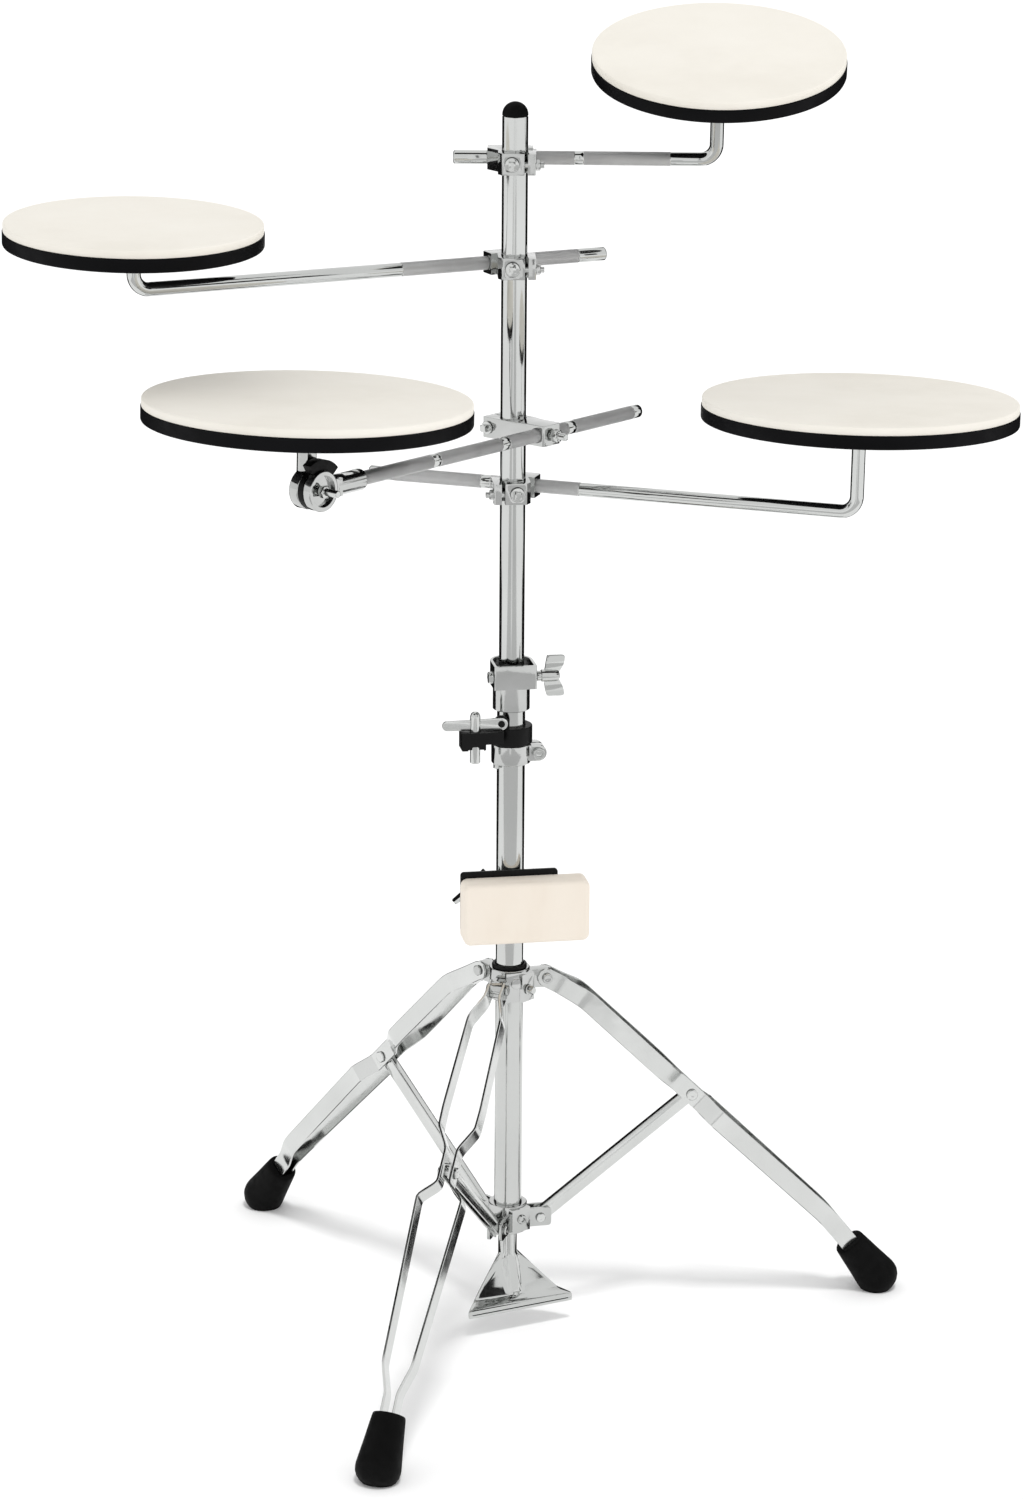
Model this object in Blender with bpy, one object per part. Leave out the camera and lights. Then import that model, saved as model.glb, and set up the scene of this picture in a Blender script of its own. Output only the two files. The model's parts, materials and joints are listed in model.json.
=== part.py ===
"""Practice pad set on a double-braced tripod stand, built as separate pieces.

Lengths are in millimetres in the tables and are turned into metres when a mesh
is made. +Z is up, the player sits on the -Y side, the mast is vertical.
"""
import math

import bmesh
import bpy
from mathutils import Matrix, Vector

MM = 0.001
UP = Vector((0, 0, 1))

# ---- driving dimensions -------------------------------------------------
MAST_X, MAST_Y = -3.37, 41.31          # mast axis, so that the whole set is centred
GAP = 0.3                            # running gap between neighbouring pieces

BASE_OR, BASE_IR = 11.8, 10.9        # base tube
BASE_BOTTOM, BASE_TOP = 88.0, 570.6
TUBE_OR, TUBE_IR = 10.5, 9.2         # sliding upper tube
TUBE_BOTTOM, TUBE_TOP = 430.0, 1040.7
FRONT_YAW = 10.0                     # the stand's front turns this far to the right
ROD_R = 5.6                          # pad arms
ROD_OFFSET = 19.5                    # arm axis behind the mast axis
ROD_BEND = 13.0                      # centre-line bend radius of the arms
RUBBER_T, BOARD_T = 6.5, 11.0        # playing surface and base board
BOSS_R, BOSS_T = 17.0, 9.0           # moulded socket below the base board

# legs: in-plane points are (radius from the mast axis, height)
LEG_AZIMUTHS = {"right": 12.3, "left": 132.3, "front": -107.7}
HUB_PIVOT = (31.3, 312.1)
MID_PIVOT = (160.2, 196.6)
COLLAR_PIVOT = (27.6, 93.6)
LEG_LINE = ((22.0, 316.6), (31.3, 312.1), (63.0, 293.3), (160.2, 196.6), (281.0, 77.5), (320.0, 28.5))
STRIP_W, STRIP_T, STRIP_END = 16.0, 2.2, 399.0
# half spacing of the two strips along the leg, by distance from the hub pivot
SPREAD = ((-10, 6.2), (14, 6.2), (36, 14.0), (118, 16.0), (136, 15.5), (155, 5.1), (186, 5.1),
          (199, 19.0), (345, 12.4), (368, 5.2), (410, 5.2))
STRUT_W, STRUT_H, STRUT_WALL = 7.0, 12.0, 1.6
FOOT_TOP, FOOT_SLOPE = (306.8, 45.5), 52.0
FOOT_PROFILE = ((0.0, 12.4), (0.9, 13.4), (42.0, 18.7), (47.5, 18.1), (52.5, 15.6), (56.5, 11.4), (58.6, 6.0))

# pads: centre of the board's top face, board radius, clamp and arm data
PADS = {
    "high_right": {"radius": 101.6, "arm_z": 1004.5, "azimuth": -0.93, "reach": 161.4,
                   "tail": 50.0, "roll": -15.6, "post": 86.6, "face": -0.93},
    "high_left": {"radius": 101.6, "arm_z": 920.4, "azimuth": 205.95, "reach": 319.6,
                  "tail": 91.5, "roll": -2.75, "post": 47.1, "face": 2.0},
    "low_right": {"radius": 127.0, "arm_z": 735.5, "azimuth": -18.74, "reach": 284.3,
                  "tail": 132.0, "roll": 2.0, "post": 85.2, "face": 6.0},
}
SNARE_RADIUS = 127.0
SNARE_AZ, SNARE_Z = 229.5, 787.0     # direction and height of the straight arm
SNARE_OFFSET = 33.6                  # this arm passes in front of the mast
SNARE_TAIL, SNARE_REACH = 120.0, 271.2
SNARE_POST, SNARE_LEAN = 62.5, 2.1
TILTER_R = 16.0                      # the tilter's two round cheeks

MATERIALS = {
    "chrome": ((0.62, 0.63, 0.64), 0.12, 1.0),
    "black_casting": ((0.012, 0.012, 0.013), 0.45, 0.0),
    "black_nylon": ((0.015, 0.015, 0.016), 0.5, 0.0),
    "gum_rubber": ((0.80, 0.73, 0.61), 0.75, 0.0),
    "black_board": ((0.012, 0.012, 0.014), 0.55, 0.0),
    "black_rubber": ((0.014, 0.014, 0.014), 0.7, 0.0),
}


# ---- mesh helpers -------------------------------------------------------
def clear_scene():
    for obj in list(bpy.data.objects):
        bpy.data.objects.remove(obj, do_unlink=True)


def material(name):
    found = bpy.data.materials.get(name)
    if found:
        return found
    colour, rough, metal = MATERIALS[name]
    made = bpy.data.materials.new(name)
    made.use_nodes = True
    shader = made.node_tree.nodes["Principled BSDF"]
    shader.inputs["Base Color"].default_value = (*colour, 1.0)
    shader.inputs["Roughness"].default_value = rough
    shader.inputs["Metallic"].default_value = metal
    return made


def solid(verts, faces):
    """A closed, outward mesh from millimetre vertices."""
    bm = bmesh.new()
    made = [bm.verts.new(Vector(v) * MM) for v in verts]
    for face in faces:
        bm.faces.new([made[i] for i in face])
    bmesh.ops.recalc_face_normals(bm, faces=bm.faces)
    mesh = bpy.data.meshes.new("shape")
    bm.to_mesh(mesh)
    bm.free()
    obj = bpy.data.objects.new("shape", mesh)
    bpy.context.collection.objects.link(obj)
    return obj


def moved(obj, matrix):
    """Move the mesh itself, in the piece's own millimetre frame."""
    shift = matrix.copy()
    shift.translation = matrix.translation * MM
    obj.data.transform(shift)
    return obj


def along(axis, origin=(0, 0, 0)):
    """A frame whose Z runs along axis, with its origin in millimetres."""
    turn = UP.rotation_difference(Vector(axis)).to_matrix().to_4x4()
    return Matrix.Translation(Vector(origin)) @ turn


def lathe(profile, axis=(0, 0, 1), origin=(0, 0, 0), segments=28, ring=False):
    """Turn (radius, height) points; ring=True closes the profile on itself."""
    verts, rings, faces = [], [], []
    for radius, height in profile:
        if radius == 0:
            rings.append([len(verts)] * segments)
            verts.append((0, 0, height))
            continue
        rings.append(list(range(len(verts), len(verts) + segments)))
        for k in range(segments):
            a = 2 * math.pi * k / segments
            verts.append((radius * math.cos(a), radius * math.sin(a), height))
    pairs = list(zip(rings, rings[1:] + rings[:1] if ring else rings[1:]))
    for low, high in pairs:
        for k in range(segments):
            n = (k + 1) % segments
            corners = [low[k], low[n], high[n], high[k]]
            kept = list(dict.fromkeys(corners))
            if len(kept) > 2:
                faces.append(kept)
    if not ring:
        for end in (rings[0], rings[-1]):
            if len(set(end)) > 1:
                faces.append(end)
    return moved(solid(verts, faces), along(axis, origin))


def rod(radius, low, high, axis=(0, 0, 1), origin=(0, 0, 0), segments=24, chamfer=0.0):
    profile = [(radius, low), (radius, high)]
    if chamfer:
        profile = [(radius - chamfer, low), (radius, low + chamfer),
                   (radius, high - chamfer), (radius - chamfer, high)]
    return lathe(profile, axis, origin, segments)


def tube(inner, outer, low, high, segments=28):
    return lathe([(inner, low), (outer, low), (outer, high), (inner, high)], segments=segments, ring=True)


def prism(outline, low, high, frame=None):
    """Extrude an XY outline from low to high along Z."""
    count = len(outline)
    verts = [(x, y, low) for x, y in outline] + [(x, y, high) for x, y in outline]
    faces = [list(range(count)), list(range(count, 2 * count))]
    faces += [[k, (k + 1) % count, count + (k + 1) % count, count + k] for k in range(count)]
    obj = solid(verts, faces)
    return moved(obj, frame) if frame else obj


def block(x, y, z):
    outline = [(x[0], y[0]), (x[1], y[0]), (x[1], y[1]), (x[0], y[1])]
    return prism(outline, z[0], z[1])


def arc(centre, radius, start, stop, steps):
    points = []
    for k in range(steps + 1):
        a = math.radians(start + (stop - start) * k / steps)
        points.append((centre[0] + radius * math.cos(a), centre[1] + radius * math.sin(a)))
    return points


def rounded(x, y, radius, steps=3):
    """A rounded rectangle outline."""
    points = arc((x[1] - radius, y[0] + radius), radius, -90, 0, steps)
    points += arc((x[1] - radius, y[1] - radius), radius, 0, 90, steps)
    points += arc((x[0] + radius, y[1] - radius), radius, 90, 180, steps)
    return points + arc((x[0] + radius, y[0] + radius), radius, 180, 270, steps)


def combine(obj, others, how):
    """Apply an exact Boolean with each other shape, then drop those shapes."""
    for other in others:
        step = obj.modifiers.new(how, "BOOLEAN")
        step.operation = how
        step.solver = "EXACT"
        step.object = other
    graph = bpy.context.evaluated_depsgraph_get()
    result = bpy.data.meshes.new_from_object(obj.evaluated_get(graph))
    obj.modifiers.clear()
    obj.data = result
    for other in others:
        bpy.data.objects.remove(other, do_unlink=True)
    return obj


def join(obj, *others):
    return combine(obj, others, "UNION")


def cut(obj, *others):
    return combine(obj, others, "DIFFERENCE")


def finish(obj, name, slot, frame):
    """Name the piece, give it its material and place it in the set."""
    bm = bmesh.new()
    bm.from_mesh(obj.data)
    bmesh.ops.remove_doubles(bm, verts=bm.verts, dist=0.00002)
    bmesh.ops.dissolve_limit(bm, angle_limit=math.radians(0.5), verts=bm.verts, edges=bm.edges)
    bmesh.ops.triangulate(bm, faces=[f for f in bm.faces if len(f.verts) > 4])
    bm.to_mesh(obj.data)
    bm.free()
    obj.data.shade_smooth()
    obj.data.set_sharp_from_angle(angle=math.radians(32.0))
    obj.name = name
    obj.data.name = name
    obj.data.materials.clear()
    obj.data.materials.append(material(slot))
    placed = frame.copy()
    placed.translation = frame.translation * MM
    obj.matrix_world = placed
    return obj


def mast_frame(z=0.0, yaw=0.0):
    return Matrix.Translation((MAST_X, MAST_Y, z)) @ Matrix.Rotation(math.radians(yaw), 4, "Z")


def hexagon(width, low, high, axis, origin=(0, 0, 0)):
    return lathe([(width / math.sqrt(3), low), (width / math.sqrt(3), high)], axis, origin, 6)


def key_screw(head_r, head_low, head_high, tip, shaft_r):
    """Drum-key screw along +Z: round flange, square head and a plain shaft."""
    flange = rod(head_r, head_low, head_low + 1.2, segments=20)
    square = block((-2.7, 2.7), (-2.7, 2.7), (head_low + 0.6, head_high))
    shaft = rod(shaft_r, tip, head_low + 0.6, segments=16)
    return join(flange, square, shaft)


def wing_head(hub_r, hub_low, hub_high, wing, thickness):
    """Hub along +Z with two wings in the XZ plane; wing holds (x, z) points."""
    hub = rod(hub_r, hub_low, hub_high, segments=20, chamfer=0.6)
    upright = Matrix.Rotation(math.radians(90), 4, "X")
    wings = []
    for side in (1, -1):
        outline = [(side * x, z) for x, z in wing]
        wings.append(prism(outline, -thickness / 2, thickness / 2, upright))
    return join(hub, *wings)


# ---- base: tube, hub, collar, pedal plate -------------------------------
def base_tube():
    obj = tube(BASE_IR, BASE_OR, BASE_BOTTOM, BASE_TOP, 40)
    finish(obj, "base_tube", "chrome", mast_frame())


HUB_Z = (296.0, 323.0)
HUB_SCREW_AZ, HUB_SCREW_Z = -42.0, 307.0
HUB_BOSS_AZ = -72.0


def leg_hub():
    body = rod(17.2, HUB_Z[0], HUB_Z[1], segments=28, chamfer=0.8)
    facing = Matrix.Rotation(math.radians(HUB_SCREW_AZ), 4, "Z")
    facet = block((0, 21.6), (-7.5, 7.5), (HUB_Z[0] + 0.7, HUB_Z[1] - 2.0))
    join(body, moved(facet, facing))
    beside = Matrix.Rotation(math.radians(HUB_BOSS_AZ), 4, "Z")
    join(body, moved(block((0, 19.5), (-9.0, 9.0), (HUB_Z[0] + 0.7, HUB_Z[1] - 0.6)), beside))
    join(body, rod(4.7, 17.0, 20.6, beside @ Vector((1, 0, 0)), (0, 0, 313.0), 16, 0.5))
    for azimuth in LEG_AZIMUTHS.values():
        turn = Matrix.Rotation(math.radians(azimuth), 4, "Z")
        upright = turn @ Matrix.Rotation(math.radians(90), 4, "X")
        outline = [(10, 303.5), (30, 303.5)] + arc(HUB_PIVOT, 7.6, -60, 90, 6) + [(10, 319.3)]
        lug = prism(outline, -4.8, 4.8, upright)
        side = turn @ Vector((0, 1, 0))
        centre = turn @ Vector((HUB_PIVOT[0], 0, HUB_PIVOT[1]))
        pin = lathe([(4.4, -9.6), (4.4, -7.8), (2.7, -7.8), (2.7, 7.8), (4.4, 7.8), (4.4, 9.6)],
                    side, centre, 12)
        join(body, lug, pin)
    bore = rod(13.6, HUB_Z[0] - 5, HUB_Z[1] + 5, segments=28)
    hole = rod(2.75, 8, 26, facing @ Vector((1, 0, 0)), (0, 0, HUB_SCREW_Z), 16)
    cut(body, bore, hole)
    finish(body, "leg_hub", "chrome", mast_frame())

    bush = lathe([(12.1, 297.0), (13.3, 297.0), (13.3, 323.3), (14.8, 323.3), (14.8, 325.4),
                  (14.0, 326.2), (12.1, 326.2)], segments=28, ring=True)
    finish(bush, "hub_bush", "black_nylon", mast_frame())

    screw = key_screw(4.3, 22.0, 28.0, 14.0, 2.45)
    spot = mast_frame(HUB_SCREW_Z) @ along(facing @ Vector((1, 0, 0)))
    finish(screw, "hub_key_screw", "chrome", spot)


def lower_collar():
    body = rod(16.5, 84.0, 109.0, segments=28, chamfer=0.8)
    for azimuth in LEG_AZIMUTHS.values():
        turn = Matrix.Rotation(math.radians(azimuth), 4, "Z")
        upright = turn @ Matrix.Rotation(math.radians(90), 4, "X")
        outline = [(12, 86.0), (34.5, 86.0), (37.0, 89.0), (37.0, 99.5), (34.0, 102.4), (12, 102.4)]
        for low, high in ((-6.6, -4.0), (4.0, 6.6)):
            join(body, prism(outline, low, high, upright))
        side = turn @ Vector((0, 1, 0))
        centre = turn @ Vector((COLLAR_PIVOT[0], 0, COLLAR_PIVOT[1]))
        cut(body, rod(2.75, -9, 9, side, centre, 16))
    front = Matrix.Rotation(math.radians(-52.0), 4, "Z")
    join(body, moved(block((8, 19.0), (-9.5, 9.5), (86.5, 107.5)), front))
    join(body, lathe([(4.2, 15), (4.2, 20.4), (3.2, 21.4)], front @ Vector((1, 0, 0)), (0, 0, 98.0), 16))
    bore = lathe([(8.4, 80), (8.4, 87.6), (12.1, 87.6), (12.1, 112)], segments=28)
    cut(body, bore)
    finish(body, "lower_collar", "chrome", mast_frame())


PEDAL_YAW = 25.8
# side view of the plate: (forward distance, height, half width)
PEDAL_LINE = ((0.0, 62.0, 8.5), (16.0, 28.0, 39.8), (26.6, 24.0, 49.0), (26.6, 18.5, 49.0))


def pedal_plate():
    """Flattened stem: a fan-shaped sheet with a folded lip for a bass pedal."""
    verts, faces = [], []
    count = len(PEDAL_LINE)
    for k, (out, z, half) in enumerate(PEDAL_LINE):
        before = PEDAL_LINE[max(k - 1, 0)]
        after = PEDAL_LINE[min(k + 1, count - 1)]
        step = Vector((after[0] - before[0], after[1] - before[1])).normalized()
        inward = Vector((-step[1], step[0])) * -1.3
        for sx, sn in ((-1, 1), (1, 1), (1, -1), (-1, -1)):
            verts.append((sx * half, -(out + sn * inward[0]), z + sn * inward[1]))
    for k in range(count - 1):
        a, b = 4 * k, 4 * (k + 1)
        for m in range(4):
            n = (m + 1) % 4
            faces.append([a + m, a + n, b + n, b + m])
    faces.append([0, 1, 2, 3])
    faces.append([4 * (count - 1) + m for m in range(4)])
    sheet = solid(verts, faces)
    stem = rod(8.0, 60.0, 190.0, segments=28, chamfer=0.6)
    rib_axis = Vector((0, -16.0, -34.0))
    rib = lathe([(7.4, -3), (7.0, 2), (4.3, 37), (2.0, 40)], rib_axis, (0, 0, 62.0), 20)
    join(sheet, stem, rib)
    finish(sheet, "pedal_plate", "chrome", mast_frame(0, PEDAL_YAW))


# ---- legs ---------------------------------------------------------------
def leg_point(distance):
    """Point and direction on the leg's centre line, measured from the hub pivot."""
    start = Vector(HUB_PIVOT)
    travelled = -(start - Vector(LEG_LINE[0])).length
    for a, b in zip(LEG_LINE, LEG_LINE[1:]):
        a, b = Vector(a), Vector(b)
        length = (b - a).length
        if distance <= travelled + length or b == Vector(LEG_LINE[-1]):
            way = (b - a).normalized()
            return a + way * (distance - travelled), way
        travelled += length
    return None


def spread_at(distance):
    for (s0, t0), (s1, t1) in zip(SPREAD, SPREAD[1:]):
        if distance <= s1:
            return t0 + (t1 - t0) * (distance - s0) / (s1 - s0)
    return SPREAD[-1][1]


def leg_strip(side):
    """One flat strip of a leg in the frame X outward, Y across, Z up."""
    bends = [row[0] for row in SPREAD if row[0] not in (-10, 410)]
    travelled = 0.0
    kinks = []
    for a, b in zip(LEG_LINE[1:], LEG_LINE[2:]):
        travelled += (Vector(b) - Vector(a)).length
        kinks.append(travelled)
    stations = {-STRIP_W / 2 + 0.4, STRIP_END}
    for place in bends:
        stations |= {place - 3.0, place + 3.0}
    for place in kinks[:-1]:
        stations |= {place - 5.0, place, place + 5.0}
    stations = sorted(s for s in stations if s <= STRIP_END)
    verts, faces = [], []
    for s in stations:
        centre, way = leg_point(s)
        before = leg_point(s - 4.0)[1]
        after = leg_point(s + 4.0)[1]
        way = (before + after).normalized()
        across = Vector((-way[1], way[0]))
        slope = (spread_at(s + 1.5) - spread_at(s - 1.5)) / 3.0
        lean = Vector((-slope, 1.0)).normalized() * STRIP_T / 2
        for edge, face in ((-1, -1), (1, -1), (1, 1), (-1, 1)):
            flat = centre + across * edge * STRIP_W / 2 + way * lean[0] * face
            verts.append((flat[0], side * (spread_at(s) + lean[1] * face), flat[1]))
    for k in range(len(stations) - 1):
        a, b = 4 * k, 4 * (k + 1)
        faces += [[a + m, a + (m + 1) % 4, b + (m + 1) % 4, b + m] for m in range(4)]
    faces += [[0, 1, 2, 3], [len(verts) - 4 + m for m in range(4)]]
    strip = solid(verts, faces)
    hub_hole = rod(3.0, -30, 30, (0, 1, 0), (HUB_PIVOT[0], 0, HUB_PIVOT[1]), 16)
    mid_hole = rod(3.5, -30, 30, (0, 1, 0), (MID_PIVOT[0], 0, MID_PIVOT[1]), 16)
    return cut(strip, hub_hole, mid_hole)


def strut():
    """U-shaped brace with a headed pin through each end."""
    low, high = Vector(COLLAR_PIVOT), Vector(MID_PIVOT)
    length = (high - low).length
    way = (high - low).normalized()
    half, deep, wall = STRUT_W / 2, STRUT_H / 2, STRUT_WALL
    outline = [(-half, deep), (-half, -deep), (wall - half, -deep), (wall - half, deep - wall),
               (half - wall, deep - wall), (half - wall, -deep), (half, -deep), (half, deep)]
    body = prism(outline, -6.5, length + 7.0)
    # nose of the channel trimmed where it meets the collar
    nose = block((-10, 10), (2.0, 10), (-10, 0.5))
    cut(body, nose)
    for at, reach, head in ((0.0, 8.6, 7.0), (length, 8.4, 6.7)):
        pin = [(4.1, -reach), (4.1, -head), (2.4, -head), (2.4, head), (4.1, head), (4.1, reach)]
        if at:
            pin = [(4.9, -reach), (4.9, -head), (2.5, -head), (2.5, head), (4.9, head), (4.9, reach)]
        join(body, lathe(pin, (1, 0, 0), (0, 0, at), 12))
    # outline X runs across, outline Y up towards the closed web, Z along the strut
    across = Vector((0, 1, 0))
    forward = Vector((way[0], 0, way[1]))
    web = across.cross(forward) * -1.0
    turn = Matrix((across, web, forward)).transposed().to_4x4()
    return moved(body, Matrix.Translation((low[0], 0, low[1])) @ turn)


def foot():
    """Turned rubber foot, flattened where it meets the floor."""
    slope = math.radians(FOOT_SLOPE)
    way = Vector((math.cos(slope), 0, -math.sin(slope)))
    profile = [(0, FOOT_PROFILE[0][0])] + [(r, a) for a, r in FOOT_PROFILE] + [(0, FOOT_PROFILE[-1][0] + 0.6)]
    body = lathe(profile, way, (FOOT_TOP[0], 0, FOOT_TOP[1]), 32)
    centre, heading = leg_point(STRIP_END - 10)
    frame = Matrix.Translation((centre[0], 0, centre[1])) @ along((heading[0], 0, heading[1]))
    pocket = moved(block((-8.4, 8.4), (-6.7, 6.7), (-25, 10.6)), frame)
    floor = block((200, 420), (-60, 60), (-60, 0))
    return cut(body, pocket, floor)


def legs():
    for name, azimuth in LEG_AZIMUTHS.items():
        frame = mast_frame(0, azimuth)
        finish(leg_strip(1), "leg_%s_strip_a" % name, "chrome", frame)
        finish(leg_strip(-1), "leg_%s_strip_b" % name, "chrome", frame)
        finish(strut(), "leg_%s_strut" % name, "chrome", frame)
        finish(foot(), "leg_%s_foot" % name, "black_rubber", frame)


# ---- height clamp -------------------------------------------------------
BOLT_Y, BOLT_Z = -16.4, 581.0


def d_outline(half, front, steps=16):
    """Flat front and sides, round back, about the tube axis."""
    points = [(-half + 1.5, front), (half - 1.5, front), (half, front + 1.5)]
    return points + arc((0, 0), half, 0, 180, steps) + [(-half, front + 1.5)]


def height_clamp():
    body = prism(d_outline(17.8, -21.6), 571.0, 591.0)
    join(body, rod(15.5, 549.5, 572.0, segments=28, chamfer=0.6))
    pocket = prism(d_outline(15.5, -19.4), 573.6, 600.0)
    bore = lathe([(12.1, 540), (12.1, 571.2), (10.9, 571.2), (10.9, 576)], segments=28)
    bolt_way = rod(2.8, -30, 30, (1, 0, 0), (0, BOLT_Y, BOLT_Z), 16)
    cut(body, pocket, bore, bolt_way)
    finish(body, "height_clamp", "chrome", mast_frame(0, FRONT_YAW))

    outline = [p for p in arc((0, 0), 15.1, -62, 242, 30)]
    bush = prism(outline, 573.9, 588.6)
    cut(bush, rod(10.8, 560, 600, segments=28))
    finish(bush, "height_bush", "black_nylon", mast_frame(0, FRONT_YAW))

    wing = ((3.5, 24.6), (12.0, 25.6), (17.4, 26.8), (17.2, 40.5), (16.2, 41.6), (10.5, 40.6), (3.5, 37.0))
    body = wing_head(5.2, 22.0, 37.0, wing, 3.2)
    collar = rod(4.2, 18.4, 23.0, segments=16)
    shaft = rod(2.5, -21.6, 20.0, segments=16)
    nut = hexagon(9.0, -22.6, -18.3, (0, 0, 1))
    join(body, collar, shaft, nut)
    # the bolt's own Z runs along the clamp's X, wings upright
    turn = Matrix(((0, 0, 1), (0, -1, 0), (1, 0, 0))).to_4x4()
    frame = mast_frame(0, FRONT_YAW) @ Matrix.Translation((0, BOLT_Y, BOLT_Z)) @ turn
    finish(body, "height_wing_bolt", "chrome", frame)


# ---- index clamp, lever, pin and memory ring ----------------------------
LEVER_PIVOT = (-11.0, 541.0)
LEVER_Y = (-17.9, -15.7)
PIN_X, PIN_Y = -33.0, -16.8


def index_parts():
    front = mast_frame(0, FRONT_YAW)
    upright = Matrix.Rotation(math.radians(90), 4, "X")
    body = rod(17.75, 520.4, 535.5, segments=28, chamfer=0.5)
    arm = [(-45, 520.4), (-25, 520.4), (-25, 525.4), (-10, 525.4), (-10, 535.5), (-45, 535.5)]
    join(body, prism(arm, 7.0, 23.2, upright))
    ear = [(-17.2, 533.0), (-4.8, 533.0)] + arc(LEVER_PIVOT, 6.4, -15, 195, 12)
    join(body, prism(ear, 12.9, 15.3, upright))
    stub = lathe([(1.7, 14.0), (1.7, 18.2), (2.7, 18.2), (2.7, 19.2)], (0, -1, 0),
                 (LEVER_PIVOT[0], 0, LEVER_PIVOT[1]), 14)
    join(body, stub)
    bore = rod(12.1, 510, 545, segments=28)
    pin_way = rod(4.6, 510, 545, origin=(PIN_X, PIN_Y, 0), segments=20)
    cut(body, bore, pin_way)
    finish(body, "index_clamp", "black_casting", front)

    outline = arc((0, 0), 5.2, -90, 90, 8) + [(-30, 4.6), (-45.5, 4.2)] + arc((-45.5, 0), 4.2, 90, 270, 6)
    outline += [(-30, -4.6)]
    lever = prism(outline, -LEVER_Y[1], -LEVER_Y[0], upright)
    cut(lever, rod(2.0, 10, 25, (0, -1, 0), segments=14))
    spot = front @ Matrix.Translation((LEVER_PIVOT[0], 0, LEVER_PIVOT[1]))
    finish(lever, "index_lever", "chrome", spot)

    profile = [(3.6, 508.2), (4.3, 509.0), (4.3, 548.4), (3.6, 550.4), (2.2, 551.9), (0, 552.5)]
    pin = lathe(profile, segments=20)
    cut(pin, block((-8, 8), (LEVER_Y[0] - PIN_Y - 0.35, LEVER_Y[1] - PIN_Y + 0.35), (535.0, 547.0)))
    finish(pin, "index_pin", "chrome", front @ Matrix.Translation((PIN_X, PIN_Y, 0)))


EAR_X, EAR_Z = 22.0, 512.0


def memory_ring():
    front = mast_frame(0, FRONT_YAW)
    upright = Matrix.Rotation(math.radians(90), 4, "X")
    body = rod(16.5, 503.2, 519.8, segments=28, chamfer=0.6)
    ear = [(12, 505.2), (22.0, 505.2)] + arc((EAR_X, EAR_Z), 6.8, -80, 80, 8) + [(12, 518.8)]
    join(body, prism(ear, -8.5, 8.5, upright))
    join(body, moved(block((13.0, 16.2), (-2.2, 2.2), (499.6, 505.0)), Matrix.Rotation(math.radians(205), 4, "Z")))
    bore = rod(12.1, 490, 530, segments=28)
    slit = block((5, 40), (-1.1, 1.1), (490, 530))
    hole = rod(2.3, -15, 15, (0, 1, 0), (EAR_X, 0, EAR_Z), 14)
    cut(body, bore, slit, hole)
    finish(body, "memory_ring", "chrome", front)

    head = rod(5.0, 8.8, 12.4, segments=20, chamfer=0.5)
    join(head, rod(2.0, -9.5, 9.5, segments=14))
    cut(head, hexagon(5.2, 10.2, 14.0, (0, 0, 1)))
    turn = along((0, -1, 0), (EAR_X, 0, EAR_Z))
    finish(head, "memory_screw", "chrome", front @ turn)


# ---- kick pad -----------------------------------------------------------
KICK_X, KICK_Z = (-45.0, 61.5), (354.8, 407.8)
KICK_BACK, KICK_FRONT = -15.7, -38.0
KICK_BOLT = (-34.5, 395.0)


def kick_parts():
    front = mast_frame(0, FRONT_YAW)
    upright = Matrix.Rotation(math.radians(90), 4, "X")
    edge = 1.6
    layers = ((-KICK_BACK, edge), (-KICK_BACK + edge, 0.0), (-KICK_FRONT - edge, 0.0), (-KICK_FRONT, edge))
    verts, faces, count = [], [], 0
    for depth, inset in layers:
        ring = rounded((KICK_X[0] + inset, KICK_X[1] - inset), (KICK_Z[0] + inset, KICK_Z[1] - inset), 4.5)
        count = len(ring)
        verts += [(x, -depth, z) for x, z in ring]
    for k in range(len(layers) - 1):
        a, b = k * count, (k + 1) * count
        faces += [[a + m, a + (m + 1) % count, b + (m + 1) % count, b + m] for m in range(count)]
    faces += [list(range(count)), [len(verts) - count + m for m in range(count)]]
    finish(solid(verts, faces), "kick_pad", "gum_rubber", front)

    plate = prism(rounded((-44.5, 38.0), (360.0, 412.5), 3.0, 2), 12.3, 15.4, upright)
    cut(plate, rod(2.8, 5, 25, (0, -1, 0), (KICK_BOLT[0], 0, KICK_BOLT[1]), 14))
    finish(plate, "kick_plate", "black_casting", front)

    outer = [(-42.0, -9.0), (-15.2, -9.0), (-15.2, 0)] + arc((0, 0), 15.2, 170, 10, 12)
    outer += [(15.2, 0), (15.2, -9.0), (26.0, -9.0), (26.0, -12.0), (12.2, -12.0), (12.2, 0)]
    outer += arc((0, 0), 12.2, 10, 170, 12) + [(-12.2, 0), (-12.2, -12.0), (-42.0, -12.0)]
    strap = prism(outer, 386.0, 404.0)
    cut(strap, rod(2.8, 5, 25, (0, -1, 0), (KICK_BOLT[0], 0, KICK_BOLT[1]), 14))
    finish(strap, "kick_strap", "black_casting", front)

    wing = ((2.5, 0.6), (9.0, 2.0), (17.5, 5.0), (18.5, 13.0), (10.0, 11.5), (3.0, 7.5))
    body = wing_head(4.4, 0.3, 8.0, wing, 3.0)
    join(body, rod(2.45, -6.0, 1.0, segments=16))
    place = Matrix.Translation((KICK_BOLT[0], -9.0, KICK_BOLT[1]))
    turn = along((0, 1, 0)) @ Matrix.Rotation(math.radians(-45), 4, "Z")
    finish(body, "kick_wing_bolt", "chrome", front @ place @ turn)


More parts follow.
